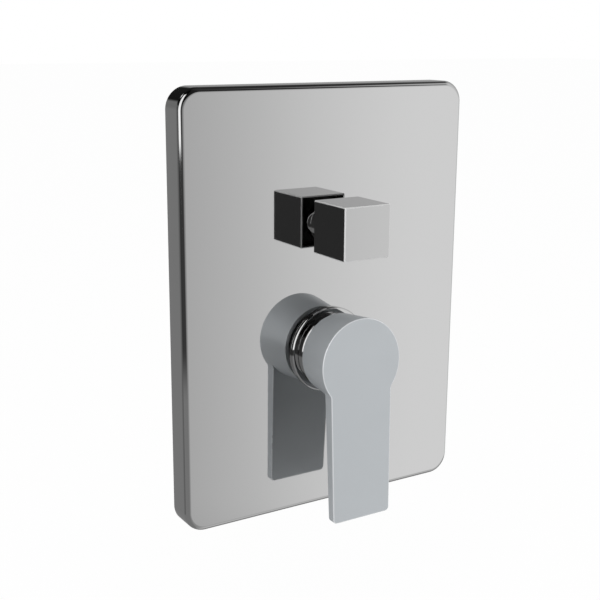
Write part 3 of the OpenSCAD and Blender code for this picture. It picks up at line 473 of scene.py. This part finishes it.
def new_finish(name, rough, smudge_scale, metallic=0.0, specular=0.5):
    """A material whose roughness varies within rough, kept in finishes under its name."""
    material = bpy.data.materials.new(name)
    material.use_nodes = True
    tree = material.node_tree
    shader = tree.nodes["Principled BSDF"]
    shader.inputs["Metallic"].default_value = metallic
    shader.inputs["Specular IOR Level"].default_value = specular
    low, high = rough
    smudges = group_node(tree, smudge_group, Scale=smudge_scale, Low=low, High=high)
    tree.links.new(smudges.outputs["Roughness"], shader.inputs["Roughness"])
    finishes[name] = material
    return tree, shader


def add_bump(tree, shader, height, strength, distance):
    bump = add_node(tree, "ShaderNodeBump", {"Height": height, "Strength": strength, "Distance": distance})
    tree.links.new(bump.outputs["Normal"], shader.inputs["Normal"])


def mix_tones(tree, shader, scale, dark, light):
    """Mixes two colours by grain. Sockets 6 and 7 of a Mix node are its colours A and B."""
    grain = group_node(tree, grain_group, Scale=scale)
    tones = {0: grain.outputs["Tone"], 6: (*dark, 1), 7: (*light, 1)}
    mixed = add_node(tree, "ShaderNodeMix", tones, data_type="RGBA")
    tree.links.new(mixed.outputs[2], shader.inputs["Base Color"])
    return grain


print("bumps have strength", bump_strength)

# %% [markdown]
# Polished chrome is plain metal with almost no roughness: its greys come from the studio. The lever
# has a satin finish, even and slightly cooler than the plate, so it is only partly metallic. The
# knob's chrome is a darker copy of the plate's, painted shade that dims the knob. The edges of the
# lever and the knob get brighter copies of their finishes, a painted highlight along each edge.
# The knob's hollow back gets a near black finish, painted shade in the hollow.

# %% Chrome, satin chrome and steel


def metal_finish(name, base, rough, smudge_scale, metallic=1.0, grain_scale=900.0, depth=0.0):
    tree, shader = new_finish(name, rough, smudge_scale, metallic)
    if base:
        shader.inputs["Base Color"].default_value = (*base, 1)
    if depth:
        grain = group_node(tree, grain_group, Scale=grain_scale)
        add_bump(tree, shader, grain.outputs["Height"], bump_strength, depth)
    return tree, shader


metal_finish("polished_chrome", (0.64, 0.64, 0.64), (0.02, 0.06), 18.0)
# A darker copy of the plate's chrome for the knob: painted shade
metal_finish("painted_shade_knob_finish", (0.57, 0.57, 0.57), (0.02, 0.06), 18.0)
# A brighter copy of the knob's chrome: a painted highlight on the knob's chamfers
metal_finish("polished_chrome_painted_highlight", (0.84, 0.84, 0.84), (0.16, 0.24), 30.0, metallic=0.4)
metal_finish("satin_chrome", (0.465, 0.49, 0.51), (0.34, 0.42), 30.0, metallic=0.3)
# A brighter copy of the satin chrome: a painted highlight on the lever's rounded edges
metal_finish("satin_chrome_painted_highlight", (0.71, 0.73, 0.75), (0.24, 0.32), 30.0, metallic=0.3)
metal_finish("chrome_plug", (0.58, 0.60, 0.62), (0.08, 0.16), 60.0)
# Near black: painted shade inside the knob's hollow
metal_finish("painted_shade_cavity", (0.05, 0.05, 0.05), (0.5, 0.65), 60.0)
metal_finish(
    "stainless", (0.56, 0.56, 0.57), (0.18, 0.3), 90.0, grain_scale=3000.0, depth=0.03 * mm
)
tree, shader = metal_finish(
    "zinc_steel", None, (0.28, 0.45), 60.0, grain_scale=1400.0, depth=0.08 * mm
)
mix_tones(tree, shader, 160.0, (0.46, 0.47, 0.50), (0.66, 0.67, 0.68))
print("finishes:", list(finishes))

# %% [markdown]
# Brass comes in two kinds here. The body is sand cast, so it is rough, uneven and dull. Nuts, rods
# and guides are turned from bar, so they are brighter and carry fine rings round their axis. The
# rings need to know the height of that axis, so there is one turned brass for the lever's axis and
# one for the knob's.

# %% Cast and turned brass
tree, shader = metal_finish(
    "cast_brass", None, (0.34, 0.55), 70.0, grain_scale=1100.0, depth=0.25 * mm
)
mix_tones(tree, shader, 90.0, (0.50, 0.36, 0.16), (0.72, 0.56, 0.29))

ring_pitch, ring_strength, ring_depth = 9000.0, 0.35, 0.04 * mm


def middle_height(node):
    low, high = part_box(node)
    return (low.z + high.z) / 2


def turned_brass(name, centre_height):
    tree, shader = metal_finish(name, None, (0.14, 0.26), 80.0)
    mix_tones(tree, shader, 120.0, (0.66, 0.49, 0.22), (0.80, 0.64, 0.34))
    rings = group_node(tree, turning_group, Centre_Height=centre_height, Pitch=ring_pitch)
    add_bump(tree, shader, rings.outputs["Height"], ring_strength, ring_depth)


knob_z = middle_height("diverter_knob")
lever_z = middle_height("base_ring")
turned_brass("machined_brass", lever_z)
turned_brass("machined_brass_diverter", knob_z)
print("axis heights:", round(lever_z, 4), "for the lever and", round(knob_z, 4), "for the knob")

# %% [markdown]
# Moulded parts, such as seals, the cartridge's plastic parts and its ceramic discs, aren't metal.
# They share one recipe: a fine grain that moves between two close tones and lifts the surface a
# little. Rubber is rough and dull, foam is rougher still, and ceramic is dense and nearly smooth.

# %% Rubber, plastic and ceramic
moulded_smudges = 70.0


def moulded_finish(name, dark, light, rough, specular=0.5, grain_scale=1600.0, depth=0.06 * mm):
    tree, shader = new_finish(name, rough, moulded_smudges, specular=specular)
    grain = mix_tones(tree, shader, grain_scale, dark, light)
    add_bump(tree, shader, grain.outputs["Height"], bump_strength, depth)


moulded_finish("seal_rubber", (0.018, 0.018, 0.018), (0.04, 0.04, 0.04), (0.5, 0.7), 0.3)
moulded_finish(
    "foam_rubber", (0.05, 0.05, 0.055), (0.16, 0.16, 0.17), (0.8, 0.95), 0.2, 1100.0, 0.6 * mm
)
moulded_finish("white_plastic", (0.72, 0.72, 0.70), (0.82, 0.82, 0.80), (0.35, 0.5))
moulded_finish("grey_plastic", (0.17, 0.18, 0.20), (0.24, 0.25, 0.27), (0.4, 0.55))
moulded_finish("blue_plastic", (0.12, 0.25, 0.42), (0.19, 0.34, 0.52), (0.35, 0.5))
moulded_finish("amber_plastic", (0.56, 0.31, 0.09), (0.68, 0.40, 0.14), (0.35, 0.5))
ceramic = {"rough": (0.08, 0.16), "specular": 0.6, "grain_scale": 2500.0, "depth": 0.01 * mm}
moulded_finish("white_ceramic", (0.82, 0.82, 0.80), (0.88, 0.88, 0.86), **ceramic)
moulded_finish("ivory_ceramic", (0.76, 0.73, 0.63), (0.83, 0.80, 0.71), **ceramic)
print("finishes:", len(finishes))

# %% [markdown]
# Each solid of the frame carries the name of its material, so the hidden pieces get their finishes
# in one loop. The turned pieces of the diverter take the brass whose rings run round the knob's
# axis.

# %% Finishes on the frame's solids
diverter_brass = ("diverter_bonnet", "diverter_rod", "rod_nut")
for subpart in frame["record"]["subparts"]:
    node = frame["nodes"][subpart["node"]]
    finish = finishes[subpart["material_slot"]]
    if subpart["node"] in diverter_brass:
        finish = finishes["machined_brass_diverter"]
    node.data.materials.clear()
    node.data.materials.append(finish)

# %% [markdown]
# A new piece needs the same last steps each time: its mesh, its finish, smooth shading that stops
# at real edges, and the body that it rides on. Weighted normals keep the flat faces flat, so that
# a mirror finish doesn't show a false bulge beside a rounded edge.

# %% A helper that finishes a piece
sharp_angle = 32
same_point = 1e-6


def make_piece(name, bm, body, slot, *replaced, finish=None):
    bmesh.ops.remove_doubles(bm, verts=bm.verts, dist=same_point)
    mesh = bpy.data.meshes.new(name)
    bm.to_mesh(mesh)
    bm.free()
    mesh.polygons.foreach_set("use_smooth", [True] * len(mesh.polygons))
    mesh.set_sharp_from_angle(angle=radians(sharp_angle))
    mesh.materials.append(finish or finishes[slot])
    piece = bpy.data.objects.new(name, mesh)
    bpy.context.scene.collection.objects.link(piece)
    weighted = piece.modifiers.new("weighted_normals", "WEIGHTED_NORMAL")
    weighted.keep_sharp = True
    weighted.weight = 100
    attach(piece, body)
    if replaced:
        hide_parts(*replaced)
    print(name, "has", len(mesh.polygons), "faces")
    return piece


def round_edges(bm, edges, radius, segments=3):
    """Rounds the edges and returns the new faces."""
    made = bmesh.ops.bevel(
        bm,
        geom=list(edges),
        offset=radius,
        offset_type="OFFSET",
        segments=segments,
        profile=0.5,
        affect="EDGES",
        material=-1,
        clamp_overlap=False,
    )
    return made["faces"]


print("shading stops at edges from", sharp_angle, "degrees")

# %% [markdown]
# Holes and hollows are cut with booleans, because a hole then needs only its cutter: a rod made
# with create_cone, or a block made with create_cube. Both are given by their two ends, as a drill
# or a milling cutter is. The manifold solver needs closed meshes, and gives a closed one back.

# %% Helpers that cut


def cut_out(bm, cutters):
    """Cuts closed bmeshes out of bm with booleans, and returns the result as a new bmesh."""
    body = bpy.data.objects.new("cut_body", bpy.data.meshes.new("cut_body"))
    bm.to_mesh(body.data)
    bm.free()
    # Two empty slots keep the faces' slot numbers through the cut
    body.data.materials.append(None)
    body.data.materials.append(None)
    bpy.context.scene.collection.objects.link(body)
    tools = []
    for cutter in cutters:
        tool = bpy.data.objects.new("cutter", bpy.data.meshes.new("cutter"))
        cutter.to_mesh(tool.data)
        cutter.free()
        bpy.context.scene.collection.objects.link(tool)
        tools.append(tool)
        modifier = body.modifiers.new("cut", "BOOLEAN")
        modifier.operation = "DIFFERENCE"
        modifier.solver = "MANIFOLD"
        modifier.object = tool
    cut = bmesh.new()
    cut.from_mesh(body.evaluated_get(bpy.context.evaluated_depsgraph_get()).to_mesh())
    for used in [body, *tools]:
        mesh = used.data
        bpy.data.objects.remove(used)
        bpy.data.meshes.remove(mesh)
    return cut


def rod_cutter(radius, start, end, segments=64):
    """A closed cylinder from start to end."""
    bm = bmesh.new()
    axis = end - start
    bmesh.ops.create_cone(
        bm, cap_ends=True, segments=segments, radius1=radius, radius2=radius, depth=axis.length
    )
    bmesh.ops.rotate(bm, verts=bm.verts, matrix=axis.to_track_quat("Z", "Y").to_matrix())
    bmesh.ops.translate(bm, verts=bm.verts, vec=(start + end) / 2)
    return bm


def block_cutter(width, start, end):
    """A square bar that follows the axis from start to end."""
    bm = bmesh.new()
    bmesh.ops.create_cube(bm, size=1)
    bmesh.ops.scale(bm, verts=bm.verts, vec=(width, (end - start).length, width))
    bmesh.ops.translate(bm, verts=bm.verts, vec=(start + end) / 2)
    return bm


# %% [markdown]
# The cover plate is one sheet, pressed into a shallow tray and then polished and plated. It could
# be a cube with a bevel, but its corners and its front edge have different radii. So a square grid
# scaled to the plate's width and height is the start. Its corners are rounded first, then the
# outline is extruded towards the viewer, and the front edge is rounded with a small radius. The
# open back is deleted and the skin gets its thickness, as sheet metal has.

# %% The plate's sheet
plate_low, plate_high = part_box("cover_plate")
plate_w = plate_high.x - plate_low.x
plate_h = plate_high.z - plate_low.z
plate_front = plate_low.y
plate_back = plate_high.y
corner_r = 10 * mm
edge_r = 2.5 * mm
sheet_t = 1.2 * mm
corner_steps, edge_steps = 20, 10


def lies_at(part, y):
    """Whether all the corners of an edge or a face lie on the plane at y."""
    return all(abs(vert.co.y - y) < same_point for vert in part.verts)


bm = bmesh.new()
bmesh.ops.create_grid(bm, x_segments=1, y_segments=1, size=0.5)
bmesh.ops.scale(bm, verts=bm.verts, vec=(plate_w, plate_h, 1))
bmesh.ops.bevel(
    bm,
    geom=list(bm.verts),
    offset=corner_r,
    offset_type="OFFSET",
    segments=corner_steps,
    profile=0.5,
    affect="VERTICES",
    material=-1,
)
bmesh.ops.rotate(bm, verts=bm.verts, matrix=Matrix.Rotation(radians(90), 3, "X"))
bmesh.ops.translate(bm, verts=bm.verts, vec=(0, plate_back, 0))
raised = bmesh.ops.extrude_face_region(bm, geom=list(bm.faces))["geom"]
raised_verts = [item for item in raised if isinstance(item, bmesh.types.BMVert)]
bmesh.ops.translate(bm, verts=raised_verts, vec=(0, plate_front - plate_back, 0))
back_faces = [face for face in bm.faces if lies_at(face, plate_back)]
bmesh.ops.delete(bm, geom=back_faces, context="FACES")
rim_edges = [edge for edge in bm.edges if lies_at(edge, plate_front)]
round_edges(bm, rim_edges, edge_r, edge_steps)
bmesh.ops.recalc_face_normals(bm, faces=bm.faces)
front_face = min(bm.faces, key=lambda face: face.calc_center_median().y)
if front_face.normal.y > 0:
    bmesh.ops.reverse_faces(bm, faces=bm.faces)
bmesh.ops.solidify(bm, geom=list(bm.faces), thickness=sheet_t)
bmesh.ops.recalc_face_normals(bm, faces=bm.faces)
print("plate:", round(plate_w / mm), "x", round(plate_h / mm), "mm,", len(bm.faces), "faces")

# %% [markdown]
# Two round holes are punched in the sheet: one lets the lever's sleeve through, and the other
# takes the skirt of the knob's collar. Each is a little wider than what goes through it, so that
# the pieces slide in.

# %% The holes in the plate
sleeve_low, sleeve_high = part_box("handle_sleeve")
sleeve_r = sleeve_high.x
sleeve_gap = 0.2 * mm
collar_hole_r = 8.9 * mm
cut_over = 5 * mm
hole_steps = 96


def through_plate(radius, height):
    front = Vector((0, plate_front - cut_over, height))
    return rod_cutter(radius, front, Vector((0, plate_back, height)), hole_steps)


plate_holes = [through_plate(sleeve_r + sleeve_gap, lever_z), through_plate(collar_hole_r, knob_z)]
bm = cut_out(bm, plate_holes)
make_piece("plate_shell", bm, "valve", "polished_chrome", "cover_plate")

# %% [markdown]
# Rings, sleeves and collars are turned on a lathe, so they are drawn the way a lathe works: half
# of the section is one flat face, its corners get a small round, and the outline spins round the
# axis. The spin axis here is the Y axis through the lever's or the knob's centre. The ring that
# covers the plate's lower hole is the first piece made so.

# %% The ring on the plate
ring_steps = 160


def turned(section, corner_radius, centre_height, steps=ring_steps):
    """Spins a section, given as (radius, y) corners, round the Y axis at a height.

    A section may touch the axis: the edge that lies on it spins to nothing and is deleted."""
    bm = bmesh.new()
    corners = [bm.verts.new((radius, y, 0)) for radius, y in section]
    bm.faces.new(corners)
    if corner_radius:
        bmesh.ops.bevel(
            bm,
            geom=list(bm.verts),
            offset=corner_radius,
            offset_type="OFFSET",
            segments=3,
            profile=0.5,
            affect="VERTICES",
            material=-1,
        )
    outline = list(bm.edges)
    bmesh.ops.delete(bm, geom=list(bm.faces), context="FACES_ONLY")
    bmesh.ops.spin(
        bm,
        geom=outline + list(bm.verts),
        cent=(0, 0, 0),
        axis=(0, 1, 0),
        angle=2 * pi,
        steps=steps,
        use_merge=True,
    )
    bmesh.ops.remove_doubles(bm, verts=bm.verts, dist=same_point)
    bmesh.ops.delete(bm, geom=[edge for edge in bm.edges if not edge.link_faces], context="EDGES")
    bmesh.ops.recalc_face_normals(bm, faces=bm.faces)
    bmesh.ops.translate(bm, verts=bm.verts, vec=(0, 0, centre_height))
    return bm


ring_low, ring_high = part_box("base_ring")
ring_r = ring_high.x
ring_gap = 0.1 * mm
ring_in_r = sleeve_r + ring_gap
ring_chamfer = 0.5 * mm
small_round = 0.15 * mm
ring_section = [
    (ring_in_r, ring_high.y),
    (ring_r, ring_high.y),
    (ring_r, ring_low.y + ring_chamfer),
    (ring_r - ring_chamfer, ring_low.y),
    (ring_in_r, ring_low.y),
]
ring = turned(ring_section, small_round, lever_z)
make_piece("plate_ring", ring, "valve", "polished_chrome", "base_ring")

# %% [markdown]
# The sleeve is a thin cup that hides the cartridge behind the lever. It has a hole in its front
# for the spindle. It shows between the lever and the plate, so its front corner is a real chamfer
# that catches the light as a ring.

# %% The sleeve behind the lever
sleeve_wall = 1.4 * mm
sleeve_chamfer = 1 * mm
sleeve_round = 0.2 * mm
mouth_r = 11.5 * mm
sleeve_section = [
    (sleeve_r - sleeve_wall, sleeve_high.y),
    (sleeve_r, sleeve_high.y),
    (sleeve_r, sleeve_low.y + sleeve_chamfer),
    (sleeve_r - sleeve_chamfer, sleeve_low.y),
    (mouth_r, sleeve_low.y),
    (mouth_r, sleeve_low.y + sleeve_wall),
    (sleeve_r - sleeve_wall, sleeve_low.y + sleeve_wall),
]
sleeve = turned(sleeve_section, sleeve_round, lever_z)
make_piece("lever_sleeve", sleeve, "valve", "polished_chrome", "handle_sleeve")

# %% [markdown]
# The collar covers the plate's upper hole and lets the knob's neck through. Its skirt reaches
# through the plate and sits over the bonnet's neck. Only a little of it shows behind the knob, so
# its section is a plain one, with one chamfer at the front.

# %% The collar behind the knob
collar_low, collar_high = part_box("diverter_collar")
collar_r = collar_high.x
collar_skirt_r = 8.7 * mm
collar_in_r = 7.6 * mm
collar_mouth_r = 4.4 * mm
collar_wall = 2.2 * mm
collar_chamfer = 0.5 * mm
collar_section = [
    (collar_in_r, collar_high.y),
    (collar_skirt_r, collar_high.y),
    (collar_skirt_r, plate_front),
    (collar_r, plate_front),
    (collar_r, collar_low.y + collar_chamfer),
    (collar_r - collar_chamfer, collar_low.y),
    (collar_mouth_r, collar_low.y),
    (collar_mouth_r, collar_low.y + collar_wall),
    (collar_in_r, collar_low.y + collar_wall),
]
collar = turned(collar_section, small_round, knob_z)
make_piece("knob_collar", collar, "valve", "polished_chrome", "diverter_collar")

# %% [markdown]
# The knob is a square block that could be milled from bar, with a short round neck behind it. Its
# edges are crisp in the photograph, and most catch a thin line of light, so each gets one narrow
# flat chamfer. The chamfers' faces get the second material slot, a brighter copy of the chrome
# that paints a highlight along each edge.

# %% The knob's block
knob_low, knob_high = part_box("diverter_knob")
knob_w = knob_high.x - knob_low.x
knob_d = 25.2 * mm
knob_back = knob_low.y + knob_d
knob_chamfer = 0.5 * mm
# Slot 1 is a painted highlight on the edges, slot 2 is painted shade inside the hollow
highlight_slot, shade_slot = 1, 2

bm = bmesh.new()
bmesh.ops.create_cube(bm, size=1)
bmesh.ops.scale(bm, verts=bm.verts, vec=(knob_w, knob_d, knob_w))
bmesh.ops.translate(bm, verts=bm.verts, vec=(0, knob_low.y + knob_d / 2, knob_z))
chamfers = round_edges(bm, list(bm.edges), knob_chamfer, 1)
# The chamfer faces take the brighter finish, a painted highlight
for face in chamfers:
    face.material_index = highlight_slot
print("knob block:", round(knob_w / mm, 1), "mm wide, with", len(chamfers), "chamfer faces")

# %% [markdown]
# The block's back is hollowed out, which saves metal and darkens the gap that shows behind the
# knob. Then come the blind hole for the rod, and the small hole underneath for the grub screw
# that holds the knob on the rod. All faces inside take the third material slot, a near black
# finish that paints shade into the hollow.

# %% The knob's hollow and holes
knob_wall = 1.2 * mm
recess_y = knob_back - 5 * mm
rod_hole_r = 3.05 * mm
rod_hole_y = knob_low.y + 9.8 * mm
grub_hole_r = 2.05 * mm
grub_y = knob_back - 7.5 * mm
over = 1 * mm
screw_steps = 48

behind_knob = Vector((0, knob_back + over, knob_z))
knob_cuts = [
    block_cutter(knob_w - 2 * knob_wall, behind_knob, Vector((0, recess_y, knob_z))),
    rod_cutter(rod_hole_r, behind_knob, Vector((0, rod_hole_y, knob_z))),
    rod_cutter(
        grub_hole_r, Vector((0, grub_y, knob_z)), Vector((0, grub_y, knob_low.z - over)), screw_steps
    ),
]
bm = cut_out(bm, knob_cuts)
# The knob wears the darker copy of the chrome, painted shade on the knob
darker_knob_finish = finishes["painted_shade_knob_finish"]
knob_block = make_piece(
    "knob_block", bm, "diverter", "polished_chrome", "diverter_knob", finish=darker_knob_finish
)
# The second slot paints a highlight on the chamfers, the third paints shade in the hollow
knob_block.data.materials.append(finishes["polished_chrome_painted_highlight"])
knob_block.data.materials.append(finishes["painted_shade_cavity"])

# The faces inside start at the rod hole's end, and lie clear of the block's sides
inside_y = rod_hole_y - over
inside_half = knob_w / 2 - over
shaded_faces = 0
# Faces inside get the near black finish, painted shade
for face in knob_block.data.polygons:
    off_axis = max(abs(face.center.x), abs(face.center.z - knob_z))
    if face.center.y > inside_y and off_axis < inside_half:
        face.material_index = shade_slot
        shaded_faces += 1
print("dull faces inside the knob:", shaded_faces)

# %% [markdown]
# The neck is a short tube behind the block that hides the rod and runs in the collar. It is a
# piece of its own, so that it stays smooth and bright while the hollow round it is dull.

# %% The knob's neck
neck_r = 4 * mm
neck_overlap = 0.2 * mm
neck_round = 0.1 * mm
neck_steps = 64
neck_in_y = recess_y - neck_overlap
neck_section = [
    (rod_hole_r, knob_high.y),
    (neck_r, knob_high.y),
    (neck_r, neck_in_y),
    (rod_hole_r, neck_in_y),
]
neck = turned(neck_section, neck_round, knob_z, neck_steps)
make_piece("knob_neck", neck, "diverter", "polished_chrome")

# %% [markdown]
# The return spring lies inside the bonnet, between the rod's flange and the bonnet's end, and gets
# shorter when the knob is pulled. A rigid solid can't do that, so the spring is wound again here: a
# small circle, the wire's section, spins round the rod and moves on by one step each time.

# %% The return spring
spring_low, spring_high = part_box("return_spring")
spring_length = spring_high.y - spring_low.y
wire_r = 0.45 * mm
coil_r = spring_high.x - wire_r
spring_curls = 6
curl_steps = 24
spring_steps = spring_curls * curl_steps
step_rise = (spring_length - 2 * wire_r) / spring_steps

bm = bmesh.new()
bmesh.ops.create_circle(bm, cap_ends=False, radius=wire_r, segments=10)
bmesh.ops.translate(bm, verts=bm.verts, vec=(coil_r, spring_low.y + wire_r, 0))
bmesh.ops.spin(
    bm,
    geom=list(bm.verts) + list(bm.edges),
    cent=(0, 0, 0),
    axis=(0, 1, 0),
    dvec=(0, step_rise, 0),
    angle=2 * pi * spring_curls,
    steps=spring_steps,
    use_merge=False,
)
bmesh.ops.holes_fill(bm, edges=[edge for edge in bm.edges if edge.is_boundary], sides=0)
bmesh.ops.recalc_face_normals(bm, faces=bm.faces)
bmesh.ops.translate(bm, verts=bm.verts, vec=(0, 0, knob_z))
spring_coil = make_piece("spring_coil", bm, "valve", "stainless", "return_spring")
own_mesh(spring_coil)

# %% [markdown]
# The lever is a cast handle: a round body that widens towards the front, and a flat blade that
# hangs from it, all under one flat face that leans out at its lower end. Its outline is drawn once
# as a function: the round top, a hollow fillet into each side of the blade, and two small corners
# at the end. Drawn on two planes, the face and the blade's back, it gives two loops to bridge.

# %% The lever's outline
face_reach = 28.2 * mm
body_gap = 7.6 * mm
body_back_r = 18.8 * mm
body_front_r = 21 * mm
lean = tan(radians(1.8))
blade_len = 74 * mm
blade_half_top = 16.3 * mm
blade_half_end = 15.5 * mm
blade_t_top = 5.8 * mm
blade_t_end = 4.2 * mm
neck_fillet = 4 * mm
end_corner = 2 * mm
edge_round = 0.4 * mm
top_steps = 120
fillet_steps = 12
end_corner_steps = 6
neck_near = radians(-50)
cone_back_y = plate_front - body_gap
face_y = plate_front - face_reach
spread = (body_front_r - body_back_r) / (face_reach - body_gap)
back_slope = lean + (blade_t_top - blade_t_end) / blade_len


def body_radius(y_axis, slope, angle):
    """Radius of the round body on a plane that crosses the axis at y_axis and leans by slope."""
    return (body_back_r + spread * (cone_back_y - y_axis)) / (1 + spread * slope * sin(angle))


def on_plane(x, z, y_axis, slope):
    return Vector((x, y_axis + z * slope, lever_z + z))


def arc(centre_x, centre_z, radius, start, end, steps):
    turns = [start + (end - start) * i / steps for i in range(steps + 1)]
    return [(centre_x + radius * cos(turn), centre_z + radius * sin(turn)) for turn in turns]


def neck_place(y_axis, slope):
    """The hollow fillet's centre, and the angle at which the fillet meets the round body."""
    centre_x = blade_half_top + neck_fillet
    meet = body_radius(y_axis, slope, neck_near)
    centre_z = -sqrt((meet + neck_fillet) ** 2 - centre_x**2)
    return centre_x, centre_z, atan2(centre_z, centre_x)


def right_side(y_axis, slope):
    """The outline from the round body down the blade's right side to the middle of its end."""
    centre_x, centre_z, meet_angle = neck_place(y_axis, slope)
    points = arc(centre_x, centre_z, neck_fillet, meet_angle + pi, pi, fillet_steps)
    corner = (blade_half_end - end_corner, end_corner - blade_len)
    points += arc(*corner, end_corner, 0, -pi / 2, end_corner_steps)
    return points


def lever_outline(y_axis, slope):
    """The whole outline, over the round top, down the left side and up the right side."""
    meet_angle = neck_place(y_axis, slope)[2]
    top = []
    for i in range(1, top_steps):
        angle = meet_angle + (pi - 2 * meet_angle) * i / top_steps
        radius = body_radius(y_axis, slope, angle)
        top.append((radius * cos(angle), radius * sin(angle)))
    side = right_side(y_axis, slope)
    left = [(-x, z) for x, z in side]
    return [on_plane(x, z, y_axis, slope) for x, z in top + left + side[::-1]]


blade_back_y = face_y + blade_t_top
front_loop = lever_outline(face_y, lean)
back_loop = lever_outline(blade_back_y, back_slope)
lever_end = min(point.z for point in front_loop)
print("lever outline:", len(front_loop), "points, end at z =", round(lever_end, 4))

# %% [markdown]
# The round body goes on behind the blade to an open back. Its circle is closed below the blade
# first, and then bridged to the smaller circle of the rim. The front edges and the blade's back
# edges get a small round while the lever is still one plain solid. The round's faces get the
# second material slot, a brighter copy of the satin finish: a painted highlight on the edges.

# %% The lever's solid
bm = bmesh.new()


def add_loop(points):
    verts = [bm.verts.new(point) for point in points]
    edges = [bm.edges.new((a, b)) for a, b in zip(verts, verts[1:] + verts[:1])]
    return verts, edges


front_verts, front_edges = add_loop(front_loop)
back_verts, back_edges = add_loop(back_loop)
bmesh.ops.bridge_loops(bm, edges=front_edges + back_edges)
bm.faces.new(front_verts)

meet_angle = neck_place(blade_back_y, back_slope)[2]
low_steps = 40
low_verts = []
for i in range(1, low_steps):
    angle = (pi - meet_angle) + (pi + 2 * meet_angle) * i / low_steps
    radius = body_radius(blade_back_y, back_slope, angle)
    point = on_plane(radius * cos(angle), radius * sin(angle), blade_back_y, back_slope)
    low_verts.append(bm.verts.new(point))
blade_verts = back_verts[top_steps - 1 :]
left_neck, right_neck = blade_verts[0], blade_verts[-1]
bm.faces.new(blade_verts + low_verts[::-1])
circle_verts = [right_neck, *back_verts[: top_steps - 1], left_neck, *low_verts]
circle_edges = []
for a, b in zip(circle_verts, circle_verts[1:] + circle_verts[:1]):
    circle_edges.append(bm.edges.get((a, b)) or bm.edges.new((a, b)))

rim_points = []
for vert in circle_verts:
    angle = atan2(vert.co.z - lever_z, vert.co.x)
    rim_points.append((body_back_r * cos(angle), cone_back_y, lever_z + body_back_r * sin(angle)))
rim_verts, rim_edges = add_loop(rim_points)
bmesh.ops.bridge_loops(bm, edges=circle_edges + rim_edges)
bm.faces.new(rim_verts)
bmesh.ops.recalc_face_normals(bm, faces=bm.faces)
blade_edges = [bm.edges.get((a, b)) for a, b in zip(blade_verts, blade_verts[1:])]
# On the back, the round stops before the hollow fillets, where it would leave a bad face
free_edges = front_edges + blade_edges[fillet_steps:-fillet_steps]
# The rounded edges take the brighter finish, a painted highlight
for face in round_edges(bm, free_edges, edge_round):
    face.material_index = highlight_slot
print("lever solid:", len(bm.faces), "faces")

# %% [markdown]
# The cast lever is hollow, as a die casting is, so that its walls stay even. A hub stands in its
# cavity, with a square socket for the spindle. Below it come the hole of the grub screw and the
# round opening for the plug that hides the screw.

# %% The lever's hollow, hub and holes
cavity_wall = 1.8 * mm
cavity_y = face_y + 4 * mm
open_y = cone_back_y + over
hub_r = 8.5 * mm
hub_back_y = plate_front - 11 * mm
socket_w = 6.1 * mm
socket_y = plate_front - 20.8 * mm
lever_screw_y = plate_front - 15.75 * mm
lever_screw_r = 2.5 * mm
plug_r = 3 * mm
plug_end_z = lever_z - body_back_r + 2.8 * mm


def cavity_radius(y):
    return body_back_r - cavity_wall + spread * (cone_back_y - y)


cavity_section = [
    (0, open_y),
    (cavity_radius(open_y), open_y),
    (cavity_radius(cavity_y), cavity_y),
    (hub_r, cavity_y),
    (hub_r, hub_back_y),
    (0, hub_back_y),
]
lever_cuts = [
    turned(cavity_section, 0, lever_z, hole_steps),
    block_cutter(socket_w, Vector((0, hub_back_y + over, lever_z)), Vector((0, socket_y, lever_z))),
    rod_cutter(
        lever_screw_r,
        Vector((0, lever_screw_y, lever_z - hub_r - over)),
        Vector((0, lever_screw_y, lever_z)),
        screw_steps,
    ),
    rod_cutter(
        plug_r,
        Vector((0, lever_screw_y, lever_z - body_front_r - over)),
        Vector((0, lever_screw_y, plug_end_z)),
        screw_steps,
    ),
]
bm = cut_out(bm, lever_cuts)
lever_casting = make_piece("lever_casting", bm, "lever", "satin_chrome", "lever_handle")
# The second slot is the brighter edge finish, a painted highlight
lever_casting.data.materials.append(finishes["satin_chrome_painted_highlight"])
highlight_faces = [face for face in lever_casting.data.polygons if face.material_index == highlight_slot]
print("bright edge faces on the lever:", len(highlight_faces))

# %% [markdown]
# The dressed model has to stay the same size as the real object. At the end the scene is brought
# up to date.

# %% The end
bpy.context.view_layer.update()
